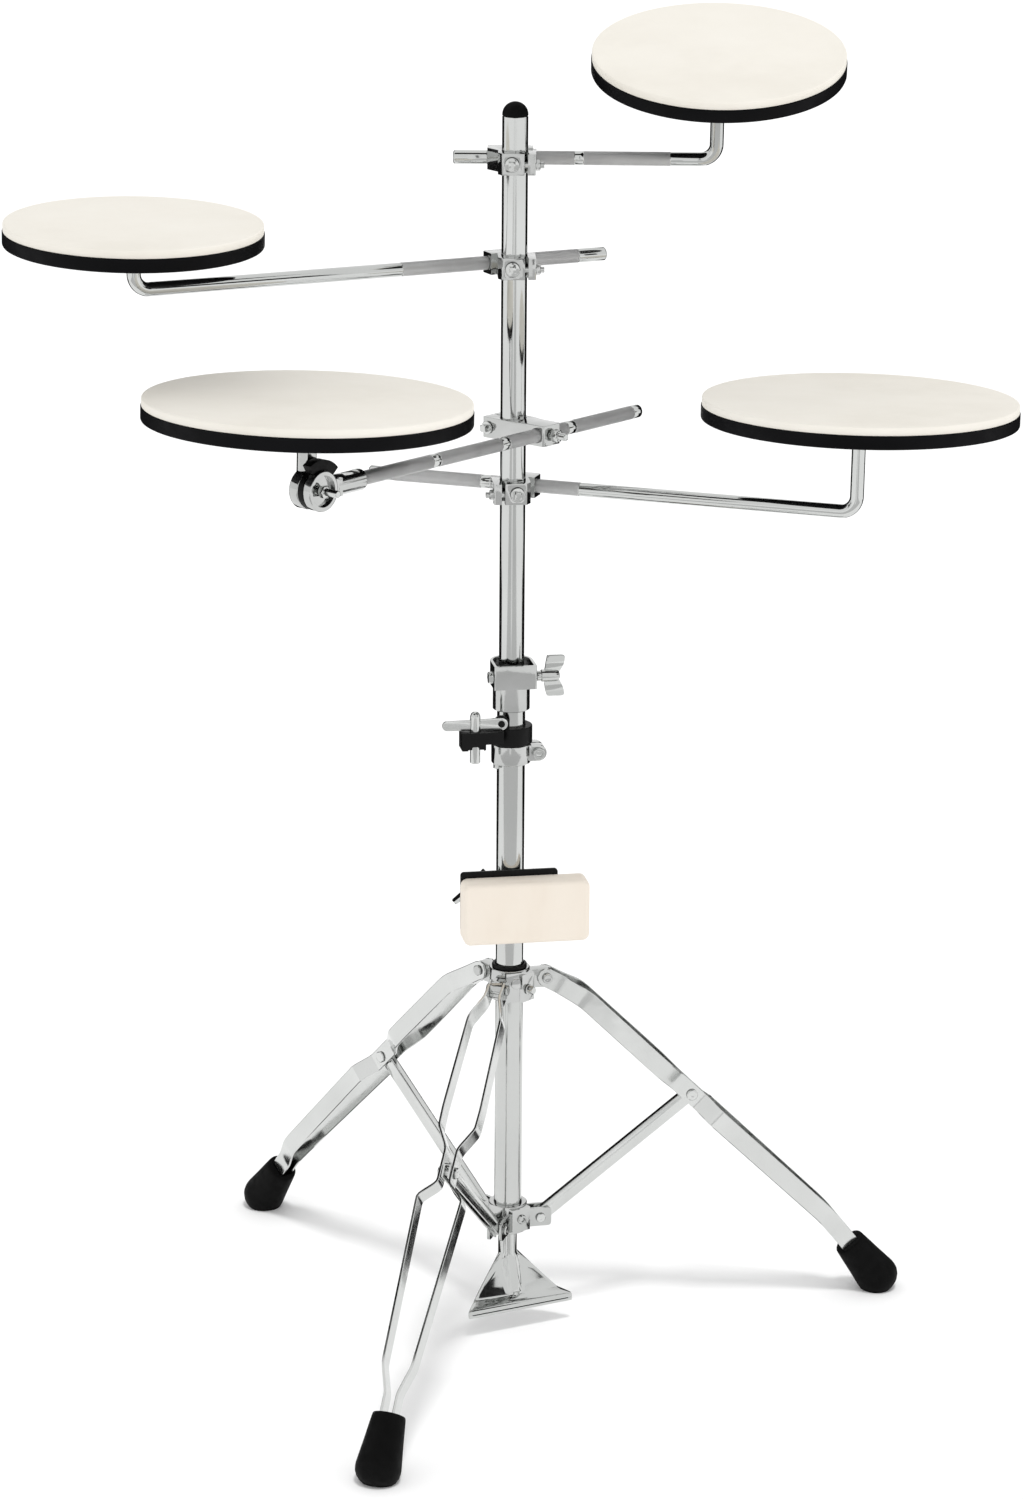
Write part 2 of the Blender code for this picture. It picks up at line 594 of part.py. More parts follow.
# ---- upper tube and arm clamps ------------------------------------------
CLAMP_KEY_X = -2.0                   # key screw, measured towards the jaw
CLAMP_STUD = (0, -14.6, -0.9)        # a point on the jaw stud's axis


def upper_tube():
    obj = tube(TUBE_IR, TUBE_OR, TUBE_BOTTOM, TUBE_TOP, 36)
    finish(obj, "upper_tube", "chrome", mast_frame())
    dome = [(8.9, -10.0), (8.9, 0.4), (10.4, 0.4)]
    dome += [(10.4 * math.cos(math.radians(a)), 2.0 + 9.6 * math.sin(math.radians(a))) for a in (0, 30, 58)]
    dome += [(0, 11.6)]
    cap = lathe(dome, segments=28)
    finish(cap, "top_cap", "black_rubber", mast_frame(TUBE_TOP))


def arm_clamp(name, z, face, yaw, mirror):
    """Cast clamp: its front faces the player, its arm bore follows the arm."""
    m = -1.0 if mirror else 1.0
    frame = mast_frame(z, face)
    aside = Matrix.Rotation(math.radians(yaw - face), 4, "Z")

    def side(points):
        return [(m * x, y) for x, y in points]

    outline = side([(-9.8, -19.0), (7.9, -19.0), (7.9, -9.2), (7.4, -7.4), (7.4, 18.0), (-13.4, 18.0),
                    (-13.4, -13.0)])
    body = prism(outline, -8.7, 8.7)
    left = [(-13.4, 28.0), (-15.0, 26.4), (-15.0, 11.4)]
    if name == "high_right":
        left = [(-20.9, 28.0), (-22.5, 26.4), (-22.5, 12.5), (-13.4, 0.0), (-12.0, 11.4)]
    arm_side = [(7.4, 13.2), (14.2, 14.2), (14.2, 26.6), (12.6, 28.0)] + left
    join(body, prism(side(arm_side), -8.7, 8.7, aside))
    mast_bore = rod(10.8, -20, 20, segments=28)
    arm_bore = moved(rod(5.9, -40, 40, (1, 0, 0), (0, ROD_OFFSET, 0), 24), aside)
    key_way = rod(2.7, 9.0, 25, (0, -1, 0), (m * CLAMP_KEY_X, 0, 0), 14)
    stud_way = rod(2.8, 3.0, 14, (m, 0, 0), CLAMP_STUD, 14)
    cut(body, mast_bore, arm_bore, key_way, stud_way)
    finish(body, "clamp_%s_body" % name, "chrome", frame)

    outline = side([(10.8, -19.0), (16.0, -19.0), (17.0, -18.0), (17.0, 12.6), (9.4, 12.6),
                    (9.4, -7.2), (10.8, -9.2)])
    jaw = prism(outline, -8.5, 8.3)
    cut(jaw, rod(10.8, -20, 20, segments=28))
    stud = rod(2.4, 5.4, 23.6, (m, 0, 0), CLAMP_STUD, 14)
    nut = hexagon(7.6, 16.8, 20.6, (m, 0, 0), CLAMP_STUD)
    join(jaw, stud, nut)
    finish(jaw, "clamp_%s_jaw" % name, "chrome", frame)

    screw = key_screw(5.6, 19.3, 25.6, 11.2, 2.4)
    turn = along((0, -1, 0), (m * CLAMP_KEY_X, 0, 0))
    finish(screw, "clamp_%s_key_screw" % name, "chrome", frame @ turn)


def bent_arm(name, data):
    """Straight arm with one end bent up into the pad post."""
    azimuth, roll = math.radians(data["azimuth"]), math.radians(data["roll"])
    out = Vector((math.cos(azimuth), math.sin(azimuth), 0))
    away = Vector((-out[1], out[0], 0))
    if away[1] < 0:
        away = -away
    up = UP * math.cos(roll) + away * math.sin(roll)
    base = Vector((MAST_X, MAST_Y, data["arm_z"])) + away * ROD_OFFSET
    bend = base + out * data["reach"]
    centre = bend + up * data["post"]
    path = [(base - out * data["tail"], out), (bend - out * ROD_BEND, out)]
    for k in range(1, 6):
        a = math.radians(18 * k)
        at = bend + out * (math.sin(a) - 1) * ROD_BEND + up * (1 - math.cos(a)) * ROD_BEND
        path.append((at, out * math.cos(a) + up * math.sin(a)))
    path.append((centre - up * (BOARD_T - 5.6), up))
    across = out.cross(up)
    segments = 20
    verts, faces = [], []
    for at, way in path:
        second = way.cross(across)
        for k in range(segments):
            a = 2 * math.pi * k / segments
            verts.append(at + (across * math.cos(a) + second * math.sin(a)) * ROD_R - base)
    for k in range(len(path) - 1):
        a, b = k * segments, (k + 1) * segments
        faces += [[a + q, a + (q + 1) % segments, b + (q + 1) % segments, b + q] for q in range(segments)]
    faces += [list(range(segments)), [len(verts) - segments + q for q in range(segments)]]
    finish(solid(verts, faces), "arm_%s" % name, "chrome", Matrix.Translation(base))
    return centre, up


def pad(name, radius, centre, up):
    frame = Matrix.Translation(centre) @ along(up)
    segments = 48
    rubber = [(0, 0.15), (radius - 0.6, 0.15), (radius - 0.6, RUBBER_T - 1.2),
              (radius - 1.8, RUBBER_T), (0, RUBBER_T)]
    finish(lathe(rubber, segments=segments), "pad_%s_rubber" % name, "gum_rubber", frame)
    low = -BOARD_T
    board = [(0, -0.15), (radius, -0.15), (radius, low + 1.0), (radius - 1.0, low), (BOSS_R, low),
             (BOSS_R - 1.5, low - BOSS_T), (ROD_R + 0.3, low - BOSS_T), (ROD_R + 0.3, low + 6.2), (0, low + 6.2)]
    finish(lathe(board, segments=segments), "pad_%s_board" % name, "black_board", frame)


# ---- straight arm with tilter -------------------------------------------
def snare_support():
    """Straight arm in front of the mast, its clamp, the tilter and the post."""
    frame = mast_frame(SNARE_Z, SNARE_AZ)
    # in this frame X runs out along the arm and Y away from the mast to the arm
    offset = SNARE_OFFSET
    outline = [(-13.6, -20), (-12.1, -21.5), (12.1, -21.5), (13.6, -20), (13.6, 10), (10.8, 22),
               (10.8, 40.2), (9.4, 41.6), (-9.4, 41.6), (-10.8, 40.2), (-10.8, 22), (-13.6, 10)]
    body = prism(outline, -8.5, 8.5)
    cut(body, rod(10.8, -20, 20, segments=28), block((-1.2, 1.2), (-30, -5), (-20, 20)),
        rod(5.9, -20, 20, (1, 0, 0), (0, offset, 0), 24), rod(3.2, 36.0, 50, (0, 1, 0), segments=16),
        rod(2.7, -20, 20, (1, 0, 0), (0, -15.8, 0), 14))
    finish(body, "clamp_low_left_body", "chrome", frame)

    bolt = rod(2.9, 39.6, 56.4, (0, 1, 0), segments=18, chamfer=0.5)
    join(bolt, hexagon(9.5, 43.0, 49.0, (0, 1, 0)))
    finish(bolt, "clamp_low_left_lock_bolt", "chrome", frame)

    screw = key_screw(5.4, 13.9, 20.0, -12.6, 2.4)
    finish(screw, "clamp_low_left_key_screw", "chrome", frame @ along((1, 0, 0), (0, -15.8, 0)))

    arm = rod(ROD_R, -SNARE_TAIL, SNARE_REACH - 26.0, (1, 0, 0), segments=20, chamfer=0.8)
    arm_frame = frame @ Matrix.Translation((0, offset, 0))
    finish(arm, "arm_low_left", "chrome", arm_frame)

    hinge = frame @ Matrix.Translation((SNARE_REACH, offset, 0))
    socket = rod(8.6, -50.0, -17.5, (1, 0, 0), segments=24, chamfer=0.8)
    join(socket, block((-22.0, -8.0), (1.6, 8.2), (-7.0, 7.0)),
         rod(TILTER_R, 1.6, 9.2, (0, 1, 0), segments=28, chamfer=1.0))
    cut(socket, rod(ROD_R + GAP, -70.0, -25.0, (1, 0, 0), segments=24), rod(3.3, -5, 20, (0, 1, 0), segments=16),
        rod(11.0, 6.4, 12, (0, 1, 0), segments=24))
    finish(socket, "tilter_socket", "chrome", hinge)

    cog = rod(TILTER_R - 0.6, -3.6, 1.2, (0, 1, 0), segments=28)
    hood = arc((0, 0), 24.2, 60, 140, 8) + arc((0, 0), TILTER_R + 0.4, 140, 60, 8)
    hood = prism(hood, -6.6, 1.7, Matrix.Rotation(math.radians(90), 4, "X"))
    join(cog, block((-6.0, 6.0), (-1.7, 1.2), (10.0, 18.0)), hood)
    cut(cog, rod(3.3, -5, 20, (0, 1, 0), segments=16))
    finish(cog, "tilter_cog", "black_nylon", hinge)

    lean = Matrix.Rotation(math.radians(-SNARE_LEAN), 4, "Y")
    post = rod(7.7, 7.5, SNARE_POST - BOARD_T - BOSS_T - 0.4, origin=(0, -9.6, 0), segments=24)
    pin = rod(ROD_R, 20.0, SNARE_POST - BOARD_T + 5.6, origin=(0, -9.6, 0), segments=20)
    disc = rod(TILTER_R, -13.2, -4.0, (0, 1, 0), segments=28, chamfer=1.2)
    join(disc, post, pin)
    notch = block((-30, 30), (-3.9, 6), (-30, 40))
    cut(disc, notch, rod(3.3, -20, 20, (0, 1, 0), segments=16))
    finish(disc, "tilter_post", "chrome", hinge @ lean)

    bolt = rod(2.9, -18.0, 24.0, (0, 1, 0), segments=18, chamfer=0.6)
    join(bolt, hexagon(9.0, 6.8, 11.4, (0, 1, 0)), rod(5.2, -18.0, -13.6, (0, 1, 0), segments=20, chamfer=0.6))
    finish(bolt, "tilter_bolt", "chrome", hinge)

    top = hinge @ lean @ Vector((0, -9.6, SNARE_POST))
    up = (hinge @ lean).to_3x3() @ UP
    return top, up


def build():
    clear_scene()
    base_tube()
    leg_hub()
    lower_collar()
    pedal_plate()
    legs()
    height_clamp()
    index_parts()
    memory_ring()
    kick_parts()
    upper_tube()
    for name, data in PADS.items():
        azimuth = data["azimuth"]
        turned = math.cos(math.radians(azimuth)) < 0
        yaw = azimuth - 180.0 if turned else azimuth
        arm_clamp(name, data["arm_z"], data["face"], yaw, name == "low_right")
        centre, up = bent_arm(name, data)
        pad(name, data["radius"], centre, up)
    centre, up = snare_support()
    pad("low_left", SNARE_RADIUS, centre, up)


build()
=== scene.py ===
"""Looks for the practice pad set: detailed chrome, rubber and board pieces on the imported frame."""
import json
import math

import bmesh
import bpy
from mathutils import Matrix, Vector

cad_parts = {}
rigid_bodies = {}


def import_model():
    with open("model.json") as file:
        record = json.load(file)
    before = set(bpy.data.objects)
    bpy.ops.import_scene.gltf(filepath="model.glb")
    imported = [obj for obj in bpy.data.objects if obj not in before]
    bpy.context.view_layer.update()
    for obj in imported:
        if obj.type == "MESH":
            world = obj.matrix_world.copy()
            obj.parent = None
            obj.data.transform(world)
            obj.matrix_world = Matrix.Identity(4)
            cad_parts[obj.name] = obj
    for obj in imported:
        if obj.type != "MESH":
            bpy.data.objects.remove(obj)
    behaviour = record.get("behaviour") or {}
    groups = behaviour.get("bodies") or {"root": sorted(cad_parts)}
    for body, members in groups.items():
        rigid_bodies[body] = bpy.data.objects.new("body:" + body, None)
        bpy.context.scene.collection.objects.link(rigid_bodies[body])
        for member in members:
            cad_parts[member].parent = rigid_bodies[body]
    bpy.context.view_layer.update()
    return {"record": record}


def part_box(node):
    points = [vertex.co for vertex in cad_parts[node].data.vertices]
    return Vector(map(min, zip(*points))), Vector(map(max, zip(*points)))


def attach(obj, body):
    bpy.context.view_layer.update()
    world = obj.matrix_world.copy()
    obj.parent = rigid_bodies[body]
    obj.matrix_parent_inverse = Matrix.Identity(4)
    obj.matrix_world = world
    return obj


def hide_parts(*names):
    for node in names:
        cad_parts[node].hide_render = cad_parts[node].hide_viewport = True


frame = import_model()

MM = 0.001
UP = Vector((0, 0, 1))
RIGHT, AWAY, NEAR = (1, 0, 0), (0, 1, 0), (0, -1, 0)
tube_low, tube_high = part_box("base_tube")
MAST_X = (tube_low.x + tube_high.x) * 500
MAST_Y = (tube_low.y + tube_high.y) * 500

# ---- dimensions shared with the CAD part, in millimetres ------------------
GAP = 0.3
BASE_OR, BASE_IR, BASE_BOTTOM, BASE_TOP = 11.8, 10.9, 88.0, 570.6
TUBE_OR, TUBE_IR, TUBE_BOTTOM, TUBE_TOP = 10.5, 9.2, 430.0, 1040.7
FRONT_YAW = 10.0
ROD_R, ROD_OFFSET, ROD_BEND = 5.6, 19.5, 13.0
RUBBER_T, BOARD_T, BOSS_R, BOSS_T = 6.5, 11.0, 17.0, 9.0
LEG_AZIMUTHS = {"right": 12.3, "left": 132.3, "front": -107.7}
HUB_PIVOT, MID_PIVOT, COLLAR_PIVOT = (31.3, 312.1), (160.2, 196.6), (27.6, 93.6)
# leg's centre line as (distance from the mast, height), then (distance along it, strip's offset)
LEG_LINE = ((22.0, 316.6), (31.3, 312.1), (63.0, 293.3), (160.2, 196.6), (281.0, 77.5), (320.0, 28.5))
STRIP_W, STRIP_T, STRIP_END = 16.0, 2.2, 399.0
SPREAD = ((-10, 6.2), (14, 6.2), (36, 14.0), (118, 16.0), (136, 15.5), (155, 5.1), (186, 5.1),
          (199, 19.0), (345, 12.4), (368, 5.2), (410, 5.2))
STRUT_W, STRUT_H, STRUT_WALL = 7.0, 12.0, 1.6
FOOT_TOP, FOOT_SLOPE = (306.8, 45.5), 52.0
# bent arms: direction in degrees from the mast, reach to the post and tail past the mast, the post's
# height and lean (roll), the clamp's own direction (face), and the knurled stretches along the arm
PADS = {
    "high_right": {"radius": 101.6, "arm_z": 1004.5, "azimuth": -0.93, "reach": 161.4, "tail": 50.0,
                   "roll": -15.6, "post": 86.6, "face": -0.93, "knurl": ((-22, 47.8), (54.6, 124.7))},
    "high_left": {"radius": 101.6, "arm_z": 920.4, "azimuth": 205.95, "reach": 319.6, "tail": 91.5,
                  "roll": -2.75, "post": 47.1, "face": 2.0, "knurl": ((-66.5, 7), (15, 92))},
    "low_right": {"radius": 127.0, "arm_z": 735.5, "azimuth": -18.74, "reach": 284.3, "tail": 132.0,
                  "roll": 2.0, "post": 85.2, "face": 6.0, "knurl": ((-110, -33), (-25, 52))},
}
SNARE_RADIUS, SNARE_AZ, SNARE_Z, SNARE_OFFSET = 127.0, 229.5, 787.0, 33.6
SNARE_TAIL, SNARE_REACH, SNARE_POST, SNARE_LEAN = 120.0, 271.2, 62.5, 2.1
TILTER_R = 16.0
SNARE_KNURL = ((-109.5, -34), (-25, 48.5), (57, 132), (140, 240))


# ---- node material helpers ------------------------------------------------
class Nodes:
    """Builder for one material's node tree; base, rough and metal are its plain values."""

    def __init__(self, name, base, rough, metal=0.0, **sockets):
        self.mat = bpy.data.materials.new(name)
        self.mat.use_nodes = True
        self.tree = self.mat.node_tree
        self.shader = self.tree.nodes["Principled BSDF"]
        self.shader.inputs["Base Color"].default_value = (*base, 1)
        self.shader.inputs["Roughness"].default_value = rough
        self.shader.inputs["Metallic"].default_value = metal
        for key, value in sockets.items():
            self.shader.inputs[key.replace("_", " ")].default_value = value
        self.coords = self.tree.nodes.new("ShaderNodeTexCoord")
        self.relief = None

    def node(self, kind, **values):
        made = self.tree.nodes.new(kind)
        for key, value in values.items():
            if key in made.inputs:
                made.inputs[key].default_value = value
            else:
                setattr(made, key, value)
        return made

    def link(self, a, b):
        self.tree.links.new(a, b)

    def noise(self, scale, detail, rough=0.5, stretch=None):
        tex = self.node("ShaderNodeTexNoise", Scale=scale, Detail=detail, Roughness=rough)
        source = self.coords.outputs["Object"]
        if stretch:
            mapping = self.node("ShaderNodeMapping", Scale=stretch)
            self.link(source, mapping.inputs["Vector"])
            source = mapping.outputs["Vector"]
        self.link(source, tex.inputs["Vector"])
        return tex.outputs["Fac"]

    def ramp(self, fac, stops):
        """stops: (position, value or colour) pairs."""
        made = self.node("ShaderNodeValToRGB")
        ramp = made.color_ramp
        while len(ramp.elements) < len(stops):
            ramp.elements.new(0.5)
        for element, (place, value) in zip(ramp.elements, stops):
            element.position = place
            element.color = (*value, 1) if isinstance(value, tuple) else (value, value, value, 1)
        self.link(fac, made.inputs["Fac"])
        return made.outputs["Color"]

    def math(self, how, a, b=None):
        made = self.node("ShaderNodeMath", operation=how)
        for socket, value in zip(made.inputs, (a, b)):
            if isinstance(value, (int, float)):
                socket.default_value = value
            elif value is not None:
                self.link(value, socket)
        return made.outputs[0]

    def bump(self, height, distance, strength):
        """Each bump takes the one before it as its normal."""
        made = self.node("ShaderNodeBump", Strength=strength, Distance=distance)
        self.link(height, made.inputs["Height"])
        if self.relief:
            self.link(self.relief, made.inputs["Normal"])
        self.relief = made.outputs["Normal"]
        self.link(self.relief, self.shader.inputs["Normal"])

    def colour(self, output):
        self.link(output, self.shader.inputs["Base Color"])

    def rough(self, output):
        self.link(output, self.shader.inputs["Roughness"])


def surface(name, base, rough, metal, colours, roughs, bumps, **sockets):
    """A finish whose colour and gloss each follow their own noise, over stacked bumps."""
    made = Nodes(name, base, rough, metal, **sockets)
    made.colour(made.ramp(made.noise(*colours[0]), colours[1:]))
    if roughs:
        made.rough(made.ramp(made.noise(*roughs[0]), roughs[1:]))
    for noise, distance, strength in bumps:
        made.bump(made.noise(*noise), distance, strength)
    return made.mat


def plated_metals():
    return {
        "chrome": surface("chrome_plate", (0.60, 0.605, 0.60), 0.06, 1.0,
                          ((9, 2), (0.3, (0.54, 0.55, 0.54)), (0.7, (0.60, 0.61, 0.60))),
                          ((26, 4, 0.6), (0.35, 0.045), (0.7, 0.12)), (((45, 2), 0.0004, 0.05),)),
        "cast": surface("chrome_casting", (0.62, 0.625, 0.62), 0.13, 1.0,
                        ((30, 3), (0.25, (0.46, 0.47, 0.46)), (0.75, (0.56, 0.565, 0.56))),
                        ((60, 4, 0.6), (0.3, 0.05), (0.75, 0.16)),
                        (((160, 3), 0.0005, 0.10), ((900, 2), 0.0001, 0.12))),
        "strip": surface("plated_strip", (0.70, 0.705, 0.70), 0.12, 1.0,
                         ((12, 3), (0.3, (0.58, 0.59, 0.58)), (0.75, (0.68, 0.69, 0.68))),
                         ((40, 5, 0.65), (0.3, 0.08), (0.75, 0.26)), (((70, 2), 0.0004, 0.06),)),
    }


KNURL_PITCH = 1.1


def knurled_rod():
    """Two crossing sets of ridges in the rod's unrolled millimetres; the colour follows the ridge height,
    with painted shade darkening the grooves and lighter ridge tops, mixed with random worn patches.
    """
    knurl = Nodes("knurled_rod", (0.42, 0.42, 0.42), 0.38, 1.0)
    split = knurl.node("ShaderNodeSeparateXYZ")
    knurl.link(knurl.coords.outputs["UV"], split.inputs["Vector"])
    waves = []
    for how in ("ADD", "SUBTRACT"):
        lean = knurl.math(how, split.outputs["X"], split.outputs["Y"])
        wave = knurl.math("SINE", knurl.math("MULTIPLY", lean, math.pi / KNURL_PITCH))
        waves.append(knurl.math("ABSOLUTE", wave))
    height = knurl.math("MINIMUM", *waves)
    knurl.bump(height, 0.00022, 0.9)
    worn = knurl.noise(70, 4, 0.6)
    # painted shade: colour darker down in the knurl grooves and lighter on the ridges, plus random wear
    # noise
    groove_shade_and_wear = knurl.math("MULTIPLY", knurl.math("ADD", height, knurl.math("MULTIPLY", worn, 0.6)), 0.6)
    knurl.colour(knurl.ramp(groove_shade_and_wear, ((0.1, (0.36, 0.36, 0.36)), (0.85, (0.74, 0.74, 0.735)))))
    knurl.rough(knurl.ramp(worn, ((0.3, 0.3), (0.8, 0.48))))
    return knurl.mat


def rubbers():
    """Gum rubber of the round pads, and the slightly redder block of the kick pad."""
    grain = ((1400, 3), 0.00012, 0.35)
    return {
        "rubber": surface("gum_rubber", (0.80, 0.74, 0.64), 0.78, 0.0,
                          ((7, 5, 0.62), (0.28, (0.78, 0.745, 0.672)), (0.5, (0.83, 0.797, 0.727)),
                           (0.75, (0.86, 0.83, 0.765))),
                          ((50, 4), (0.3, 0.7), (0.7, 0.88)), (((30, 3), 0.0006, 0.10), grain),
                          Specular_IOR_Level=0.3),
        "kick": surface("kick_rubber", (0.82, 0.74, 0.65), 0.8, 0.0,
                        ((16, 4, 0.6, (1.0, 1.0, 0.35)), (0.3, (0.80, 0.715, 0.615)),
                         (0.5, (0.84, 0.765, 0.67)), (0.75, (0.86, 0.79, 0.70))),
                        None, (grain,), Specular_IOR_Level=0.3),
    }


def black(name, rough, gloss, clouds, dark, light, gloss_noise, roughs, bump):
    """Near-black plastic, rubber or coating; dark and light are (position, grey, blue)."""
    shades = [(place, (grey, grey, blue)) for place, grey, blue in (dark, light)]
    return surface(name, (0.002, 0.002, 0.002), rough, 0.0, (clouds, *shades), (gloss_noise, *roughs),
                   (bump,), Specular_IOR_Level=gloss)


def blacks():
    return {
        "board": black("black_board", 0.5, 0.08, (18, 4), (0.3, 0.001, 0.0014), (0.75, 0.003, 0.004),
                       (90, 4), ((0.3, 0.42), (0.75, 0.62)), ((1100, 3), 0.00012, 0.3)),
        "foot": black("foot_rubber", 0.62, 0.09, (22, 4), (0.3, 0.001, 0.001), (0.8, 0.003, 0.003),
                      (140, 4), ((0.3, 0.52), (0.75, 0.75)), ((800, 3), 0.00015, 0.35)),
        "coat": black("black_coat", 0.38, 0.16, (25, 3), (0.3, 0.0015, 0.0015), (0.8, 0.005, 0.005),
                      (120, 4), ((0.3, 0.34), (0.75, 0.54)), ((1300, 2), 0.0001, 0.35)),
        "nylon": black("black_nylon", 0.42, 0.15, (30, 3), (0.3, 0.0015, 0.0015), (0.8, 0.004, 0.004),
                       (200, 3), ((0.3, 0.36), (0.75, 0.52)), ((900, 2), 0.0001, 0.25)),
    }


MATS = {**plated_metals(), "knurl": knurled_rod(), **rubbers(), **blacks()}
BODY_OF = {n: b for b, members in frame["record"]["behaviour"]["bodies"].items() for n in members}


# ---- mesh helpers ---------------------------------------------------------
def solid(verts, faces):
    """Mesh object from millimetre points, normals outwards."""
    bm = bmesh.new()
    made = [bm.verts.new(Vector(v) * MM) for v in verts]
    for face in faces:
        bm.faces.new([made[i] for i in face])
    bmesh.ops.recalc_face_normals(bm, faces=bm.faces)
    mesh = bpy.data.meshes.new("shape")
    bm.to_mesh(mesh)
    bm.free()
    obj = bpy.data.objects.new("shape", mesh)
    bpy.context.scene.collection.objects.link(obj)
    return obj


def spin(degrees):
    return Matrix.Rotation(math.radians(degrees), 4, "Z")


# turns a flat outline's second axis up, so that its thickness runs towards the player
UPRIGHT = Matrix.Rotation(math.radians(90), 4, "X")


def loft(verts, ring):
    """Closed solid over rings of points that follow each other."""
    faces = []
    for a in range(0, len(verts) - ring, ring):
        for m in range(ring):
            n = (m + 1) % ring
            faces.append([a + m, a + n, a + ring + n, a + ring + m])
    return solid(verts, faces + [list(range(ring)), list(range(len(verts) - ring, len(verts)))])


def moved(obj, matrix):
    """Apply a matrix in millimetres to a mesh in metres."""
    shift = matrix.copy()
    shift.translation = matrix.translation * MM
    obj.data.transform(shift)
    return obj


def along(axis, origin=(0, 0, 0)):
    turn = UP.rotation_difference(Vector(axis)).to_matrix().to_4x4()
    return Matrix.Translation(Vector(origin)) @ turn


def lathe(profile, axis=UP, origin=(0, 0, 0), segments=64, ring=False):
    """Solid of revolution from (radius, height) pairs; a ring closes on itself."""
    verts, rings, faces = [], [], []
    for radius, height in profile:
        if radius == 0:
            rings.append([len(verts)] * segments)
            verts.append((0, 0, height))
            continue
        rings.append(list(range(len(verts), len(verts) + segments)))
        for k in range(segments):
            a = 2 * math.pi * k / segments
            verts.append((radius * math.cos(a), radius * math.sin(a), height))
    for low, high in zip(rings, rings[1:] + rings[:1] if ring else rings[1:]):
        for k in range(segments):
            n = (k + 1) % segments
            kept = list(dict.fromkeys([low[k], low[n], high[n], high[k]]))
            if len(kept) > 2:
                faces.append(kept)
    if not ring:
        for end in (rings[0], rings[-1]):
            if len(set(end)) > 1:
                faces.append(end)
    return moved(solid(verts, faces), along(axis, origin))


def arc(centre, radius, start, stop, steps):
    points = []
    for k in range(steps + 1):
        a = math.radians(start + (stop - start) * k / steps)
        points.append((centre[0] + radius * math.cos(a), centre[1] + radius * math.sin(a)))
    return points


def round_profile(radius, low, high, edge):
    """Profile of a cylinder with rounded ends."""
    return (arc((radius - edge, low + edge), edge, -90, 0, 4)
            + arc((radius - edge, high - edge), edge, 0, 90, 4))


def rod(radius, low, high, axis=UP, origin=(0, 0, 0), segments=48, edge=0.0):
    profile = round_profile(radius, low, high, edge) if edge else [(radius, low), (radius, high)]
    return lathe(profile, axis, origin, segments)


def prism(outline, low, high, matrix=None):
    count = len(outline)
    verts = [(x, y, low) for x, y in outline] + [(x, y, high) for x, y in outline]
    faces = [list(range(count)), list(range(count, 2 * count))]
    faces += [[k, (k + 1) % count, count + (k + 1) % count, count + k] for k in range(count)]
    obj = solid(verts, faces)
    return moved(obj, matrix) if matrix else obj


def block(x, y, z):
    return prism([(x[0], y[0]), (x[1], y[0]), (x[1], y[1]), (x[0], y[1])], z[0], z[1])


def rounded(x, y, radius, steps=6):
    """Rectangle with rounded corners."""
    points = []
    for turn, (i, j) in enumerate(((1, 0), (1, 1), (0, 1), (0, 0))):
        centre = (x[i] + radius * (1 - 2 * i), y[j] + radius * (1 - 2 * j))
        points += arc(centre, radius, 90 * turn - 90, 90 * turn, steps)
    return points


def apply_modifiers(obj):
    graph = bpy.context.evaluated_depsgraph_get()
    result = bpy.data.meshes.new_from_object(obj.evaluated_get(graph))
    obj.modifiers.clear()
    obj.data = result


def combine(obj, others, how):
    for other in others:
        step = obj.modifiers.new(how, "BOOLEAN")
        step.operation = how
        step.solver = "EXACT"
        step.object = other
    apply_modifiers(obj)
    for other in others:
        bpy.data.objects.remove(other, do_unlink=True)
    return obj


def join(obj, *others):
    return combine(obj, others, "UNION")


def cut(obj, *others):
    return combine(obj, others, "DIFFERENCE")


def finish(obj, name, look, matrix, bevel=0.35, sharp=38.0):
    """Bevel, shade and place a piece, and let it stand for its CAD node."""
    if bevel:
        bm = bmesh.new()
        bm.from_mesh(obj.data)
        bmesh.ops.remove_doubles(bm, verts=bm.verts, dist=0.00002)
        bmesh.ops.dissolve_limit(bm, angle_limit=math.radians(0.6), verts=bm.verts, edges=bm.edges)
        bm.to_mesh(obj.data)
        bm.free()
        step = obj.modifiers.new("edge", "BEVEL")
        step.width = bevel * MM
        step.segments = 3
        step.limit_method = "ANGLE"
        step.angle_limit = math.radians(32)
        apply_modifiers(obj)
    looks = look if isinstance(look, (list, tuple)) else [look]
    if len(obj.data.materials) == 0 or len(looks) == 1:
        obj.data.materials.clear()
        for each in looks:
            obj.data.materials.append(MATS[each])
    obj.data.shade_smooth()
    obj.data.set_sharp_from_angle(angle=math.radians(sharp))
    moved(obj, matrix)
    obj.name = "vis_" + name
    obj.data.name = "vis_" + name
    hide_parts(name)
    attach(obj, BODY_OF[name])
    return obj


def mast_frame(z=0.0, yaw=0.0):
    """Frame on the mast's axis, turned by yaw."""
    return Matrix.Translation((MAST_X, MAST_Y, z)) @ spin(yaw)


FRONT = mast_frame(0, FRONT_YAW)


def hexagon(width, low, high, axis, origin=(0, 0, 0)):
    """Hexagon with its corners turned down, as on a real nut."""
    nut = lathe([(width / math.sqrt(3), low), (width / math.sqrt(3), high)], axis, origin, 6)
    corner = width / math.sqrt(3)
    dome = lathe([(corner - 1.2, low - 0.01), (corner + 0.3, low + 0.7), (corner + 0.3, high - 0.7),
                  (corner - 1.2, high + 0.01)], axis, origin, 32)
    return combine(nut, [dome], "INTERSECT")


